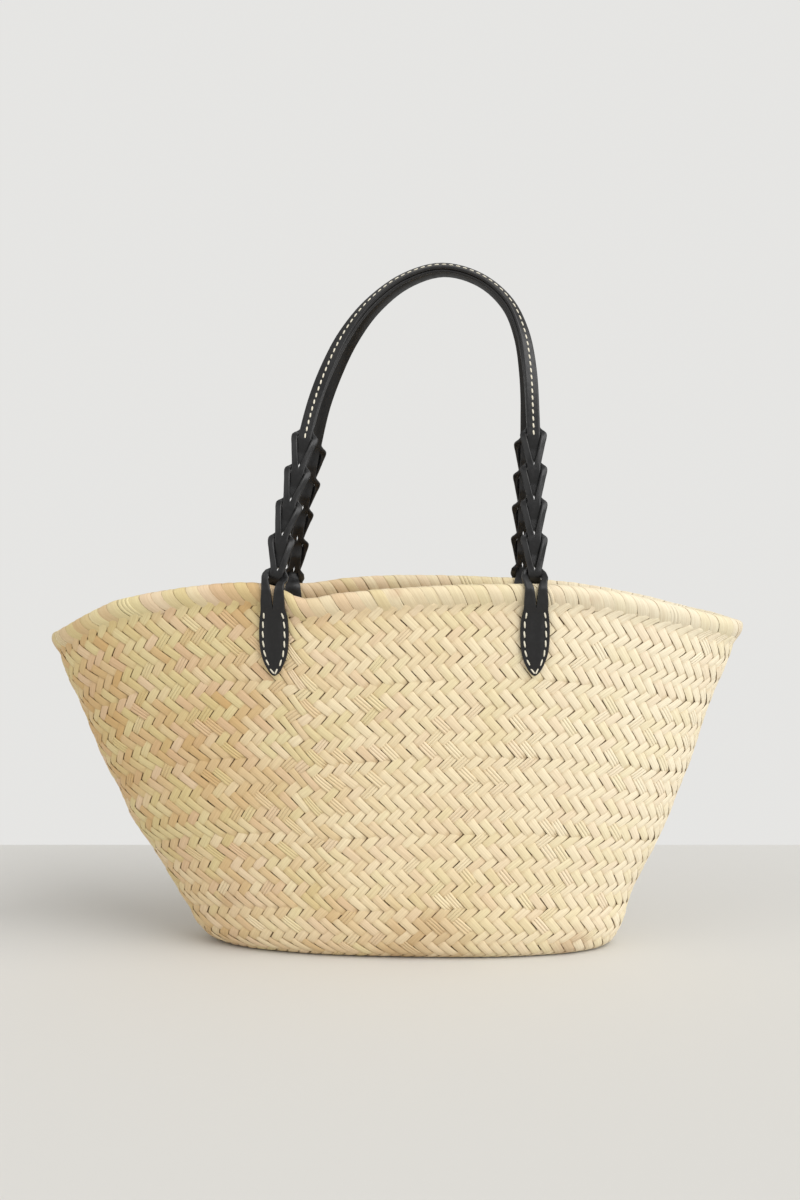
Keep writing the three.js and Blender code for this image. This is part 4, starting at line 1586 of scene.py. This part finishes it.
class BAG_OT_roll(bpy.types.Operator):
    """Adds the roll on the rim and the wraps that bind it"""

    bl_idname = "bag.add_roll"
    bl_label = "Wrapped roll"

    def execute(self, context):
        straw = context.scene.bag_straw
        slot = WALL / 2 + ROLL_CLEARANCE
        side = roll_section(ROLL_SKIN)[1:]
        bottom = ROLL_ABOVE_WALL - ROLL_HEIGHT
        ring = [(slot, bottom), *side]
        closed = ring + [(-o, h) for o, h in reversed(ring)] + [(-slot, 0.3 * MM), (slot, 0.3 * MM)]
        points = roll_points(CORE_ROLL_COLUMNS, closed)[:, :-1]
        rows, columns = points.shape[:2]
        faces = []
        for r in range(rows):
            for c in range(columns):
                low, high = r * columns, (r + 1) % rows * columns
                along = (c + 1) % columns
                faces.append((low + c, low + along, high + along, high + c))
        mesh = mesh_from("roll_core", points.reshape(-1, 3), faces)
        mesh.materials.append(kit().core)
        finish_piece(put_object("roll_core", mesh), "rim_straw", "rim_binding")

        half = roll_section(0)
        path = half + [(-o, h) for o, h in reversed(half)]
        sheet = Sheet("roll_sheet", roll_points(WALL_COLUMNS, path))
        length = sheet.length_at(0.5)
        columns = round(length / straw.wrap_pitch)
        pitch = length / columns
        reach = sheet.height / math.cos(straw.wrap_slant)
        size = (1.02 * reach, pitch * math.cos(straw.wrap_slant) + straw.wrap_lap, straw.pad_thickness)
        wraps = [
            pad_mesh("whole_wrap", size, WRAP_CELLS, straw.wrap_crown, 0, 1, WRAP_WAIST),
            pad_mesh("torn_wrap", size, SPLIT_WRAP_CELLS, straw.wrap_crown, 0, STRANDS, WRAP_WAIST),
        ]
        values = plait_values(straw, pitch, 0)
        values.update({
            "Columns": columns,
            "Rows": 1,
            "Row Height": sheet.height,
            "Slant": math.radians(90) + straw.wrap_slant,
            "Wobble": 0.0,
            "Jitter": WRAP_SHIFT,
            "Turn Jitter": WRAP_TURN,
            "Height Jitter": WRAP_LIFT,
            "Seed": straw.seed + 600,
        })
        piece = lay_pads("roll_wraps", kit().pads, sheet, wraps, values, kit().rim)
        clear_extra(piece.data, "strand", "edge", "tone", "tint")
        finish_piece(piece, "rim_straw")
        return {"FINISHED"}


class BAG_OT_handles(bpy.types.Operator):
    """Adds the slit leather strips of both handles"""

    bl_idname = "bag.add_handles"
    bl_label = "Leather handles"

    def execute(self, context):
        for side, place in ((-1, "front"), (1, "back")):
            for order, kind in enumerate(("tab", "inside")):
                name = f"{place}_{kind}_leather"
                mesh = strip_mesh(name, order, side)
                mesh.materials.append(kit().leather)
                finish_piece(put_object(name, mesh), "black_leather", f"{place}_{kind}_strip")
        return {"FINISHED"}


def stitch_mesh(length, width):
    """One stitch: a round-ended thread that dips into the leather at both ends."""
    builder = bmesh.new()
    bmesh.ops.create_uvsphere(builder, u_segments=8, v_segments=6, radius=0.5)
    for vertex in builder.verts:
        x, y, z = vertex.co
        reach = math.copysign(abs(z * 2) ** 0.6, z) / 2
        vertex.co = (reach * length, x * width, y * width * 0.8 - 0.35 * width * (2 * reach) ** 4)
    bmesh.ops.recalc_face_normals(builder, faces=builder.faces)
    mesh = bpy.data.meshes.new("stitch")
    builder.to_mesh(mesh)
    builder.free()
    return mesh


def strap_line(side):
    """Line of the thread along the strap of a handle, as points with their facing."""
    frames = strip_frames(1, side)
    length = frames[-1][3]
    end = TAB_LENGTH + (BRAID_VS + STITCH_START) * BRAID_PITCH
    return [
        (point + normal * (STRIP_THICKNESS / 2), normal)
        for point, across, normal, distance, state in frames
        if end < distance < length - end
    ]


def tab_lines(side):
    """Lines of the thread down both edges of a handle's two tabs, each from the tab's tip upwards."""
    handle = bpy.context.scene.bag_handle
    frames = strip_frames(0, side)
    length = frames[-1][3]
    lines = []
    for end in (0, 1):
        stations = [f for f in frames if (f[3] < length / 2) == (end == 0)]
        stations = [f for f in stations if f[4][0] < -STITCH_TOP * TAB_LENGTH]
        stations = [f for f in stations if f[4][2] > handle.tab_inset]
        if end == 1:
            stations = stations[::-1]
        for hand in (-1, 1):
            line = [
                (p + a * hand * (state[2] - handle.tab_inset) + n * (STRIP_THICKNESS / 2), n)
                for p, a, n, distance, state in stations
            ]
            lines.append(without_start(line, handle.tab_stitch * 0.45))
    return lines


def without_start(line, cut):
    """A line of points with facings, without a length at its start."""
    rest = list(line)
    while len(rest) > 2 and (rest[1][0] - rest[0][0]).length < cut:
        cut -= (rest[1][0] - rest[0][0]).length
        rest.pop(0)
    step = (rest[1][0] - rest[0][0]).length
    rest[0] = (rest[0][0].lerp(rest[1][0], cut / step), rest[0][1])
    return rest


class BAG_OT_stitches(bpy.types.Operator):
    """Adds the cream stitches on the handles and round the tabs"""

    bl_idname = "bag.add_stitches"
    bl_label = "Stitches"

    def execute(self, context):
        handle = context.scene.bag_handle
        for side, place in ((-1, "front"), (1, "back")):
            strap = ("strap", [strap_line(side)], handle.strap_pitch, handle.strap_stitch)
            tabs = ("tab", tab_lines(side), handle.tab_pitch, handle.tab_stitch)
            for part, lines, pitch, stitch in (strap, tabs):
                vertices, facings, edges = [], [], []
                for line in lines:
                    edges += [(len(vertices) + i, len(vertices) + i + 1) for i in range(len(line) - 1)]
                    vertices += [tuple(point) for point, facing in line]
                    facings += [tuple(facing) for point, facing in line]
                start = bpy.data.meshes.new("stitch_lines")
                start.from_pydata(vertices, edges, [])
                store(start, "facing", facings)
                maker = put_object("stitch", stitch_mesh(stitch, handle.thread_width))
                values = {
                    "Stitch": maker,
                    "Pitch": pitch,
                    "Slant": math.radians(7),
                    "Material": kit().thread,
                }
                piece = run_tree(kit().stitches, f"{place}_{part}_stitches", start, values)
                bpy.data.objects.remove(maker)
                clear_extra(piece.data)
                finish_piece(piece, "black_leather")
        return {"FINISHED"}


def look_at(thing, target):
    direction = Vector(target) - thing.location
    thing.rotation_euler = direction.to_track_quat("-Z", "Y").to_euler()


class BAG_OT_stage(bpy.types.Operator):
    """Adds the camera, the floor with its backdrop and the studio lights"""

    bl_idname = "bag.add_stage"
    bl_label = "Studio stage"

    def execute(self, context):
        stage = context.scene.bag_stage
        data = bpy.data.cameras.new("photo_camera")
        data.sensor_fit = "VERTICAL"
        data.sensor_height = 36
        data.lens = stage.lens
        camera = put_object("photo_camera", data)
        camera.location = stage.camera_place
        camera.rotation_euler = (math.radians(90) - stage.camera_pitch, 0, 0)
        context.scene.camera = camera

        reach, back = stage.floor_reach, stage.floor_back
        corners = [(-reach, -reach, 0), (reach, -reach, 0), (reach, back, 0), (-reach, back, 0)]
        floor = mesh_from("floor", corners, [(0, 1, 2, 3)])
        floor.materials.append(kit().floor)
        put_object("floor", floor)

        lights = (
            ("key_light", KEY_PLACE, KEY_ANGLE, stage.key),
            ("fill_light", FILL_PLACE, FILL_ANGLE, stage.fill),
        )
        for name, place, spread, strength in lights:
            light = bpy.data.lights.new(name, "SUN")
            light.angle = spread
            light.energy = strength
            lamp = put_object(name, light)
            lamp.location = place
            look_at(lamp, (0, 0, 0))
        world = bpy.data.worlds.new("studio")
        world.use_nodes = True
        sky = Tree.__new__(Tree)
        sky.tree = world.node_tree
        seen = sky.node("ShaderNodeLightPath").outputs["Is Camera Ray"]
        strength = sky.add(sky.mul(seen, stage.backdrop), sky.mul(sky.sub(1.0, seen), stage.sky))
        sky.put(world.node_tree.nodes["Background"].inputs["Color"], WARM_WHITE)
        sky.put(world.node_tree.nodes["Background"].inputs["Strength"], strength)
        context.scene.world = world
        context.scene.view_settings.view_transform = "Standard"
        return {"FINISHED"}


OPERATORS = (
    BAG_OT_core, BAG_OT_wall_plait, BAG_OT_lining_plait, BAG_OT_base_plait, BAG_OT_roll,
    BAG_OT_handles, BAG_OT_stitches, BAG_OT_stage,
)


class BAG_PT_panel(bpy.types.Panel):
    """Lists the bag's steps and settings"""

    bl_idname = "BAG_PT_panel"
    bl_label = "Basket bag"
    bl_space_type = "VIEW_3D"
    bl_region_type = "UI"
    bl_category = "Basket bag"

    def draw(self, context):
        scene = context.scene
        for settings in (scene.bag_straw, scene.bag_handle, scene.bag_stage):
            box = self.layout.box()
            for key in settings.__annotations__:
                box.prop(settings, key)
        for operator in OPERATORS:
            self.layout.operator(operator.bl_idname)


GROUPS = {
    "bag_straw": BagStrawSettings,
    "bag_handle": BagHandleSettings,
    "bag_stage": BagStageSettings,
}


def register():
    for key, group in GROUPS.items():
        bpy.utils.register_class(group)
        setattr(bpy.types.Scene, key, bpy.props.PointerProperty(type=group))
    for operator in OPERATORS:
        bpy.utils.register_class(operator)
    bpy.utils.register_class(BAG_PT_panel)


def unregister():
    bpy.utils.unregister_class(BAG_PT_panel)
    for operator in reversed(OPERATORS):
        bpy.utils.unregister_class(operator)
    for key, group in GROUPS.items():
        delattr(bpy.types.Scene, key)
        bpy.utils.unregister_class(group)


def main():
    register()
    bpy.ops.bag.add_core()
    bpy.ops.bag.add_wall_plait()
    bpy.ops.bag.add_lining_plait()
    bpy.ops.bag.add_base_plait()
    bpy.ops.bag.add_roll()
    bpy.ops.bag.add_handles()
    bpy.ops.bag.add_stitches()
    bpy.ops.bag.add_stage()


if __name__ == "__main__":
    main()
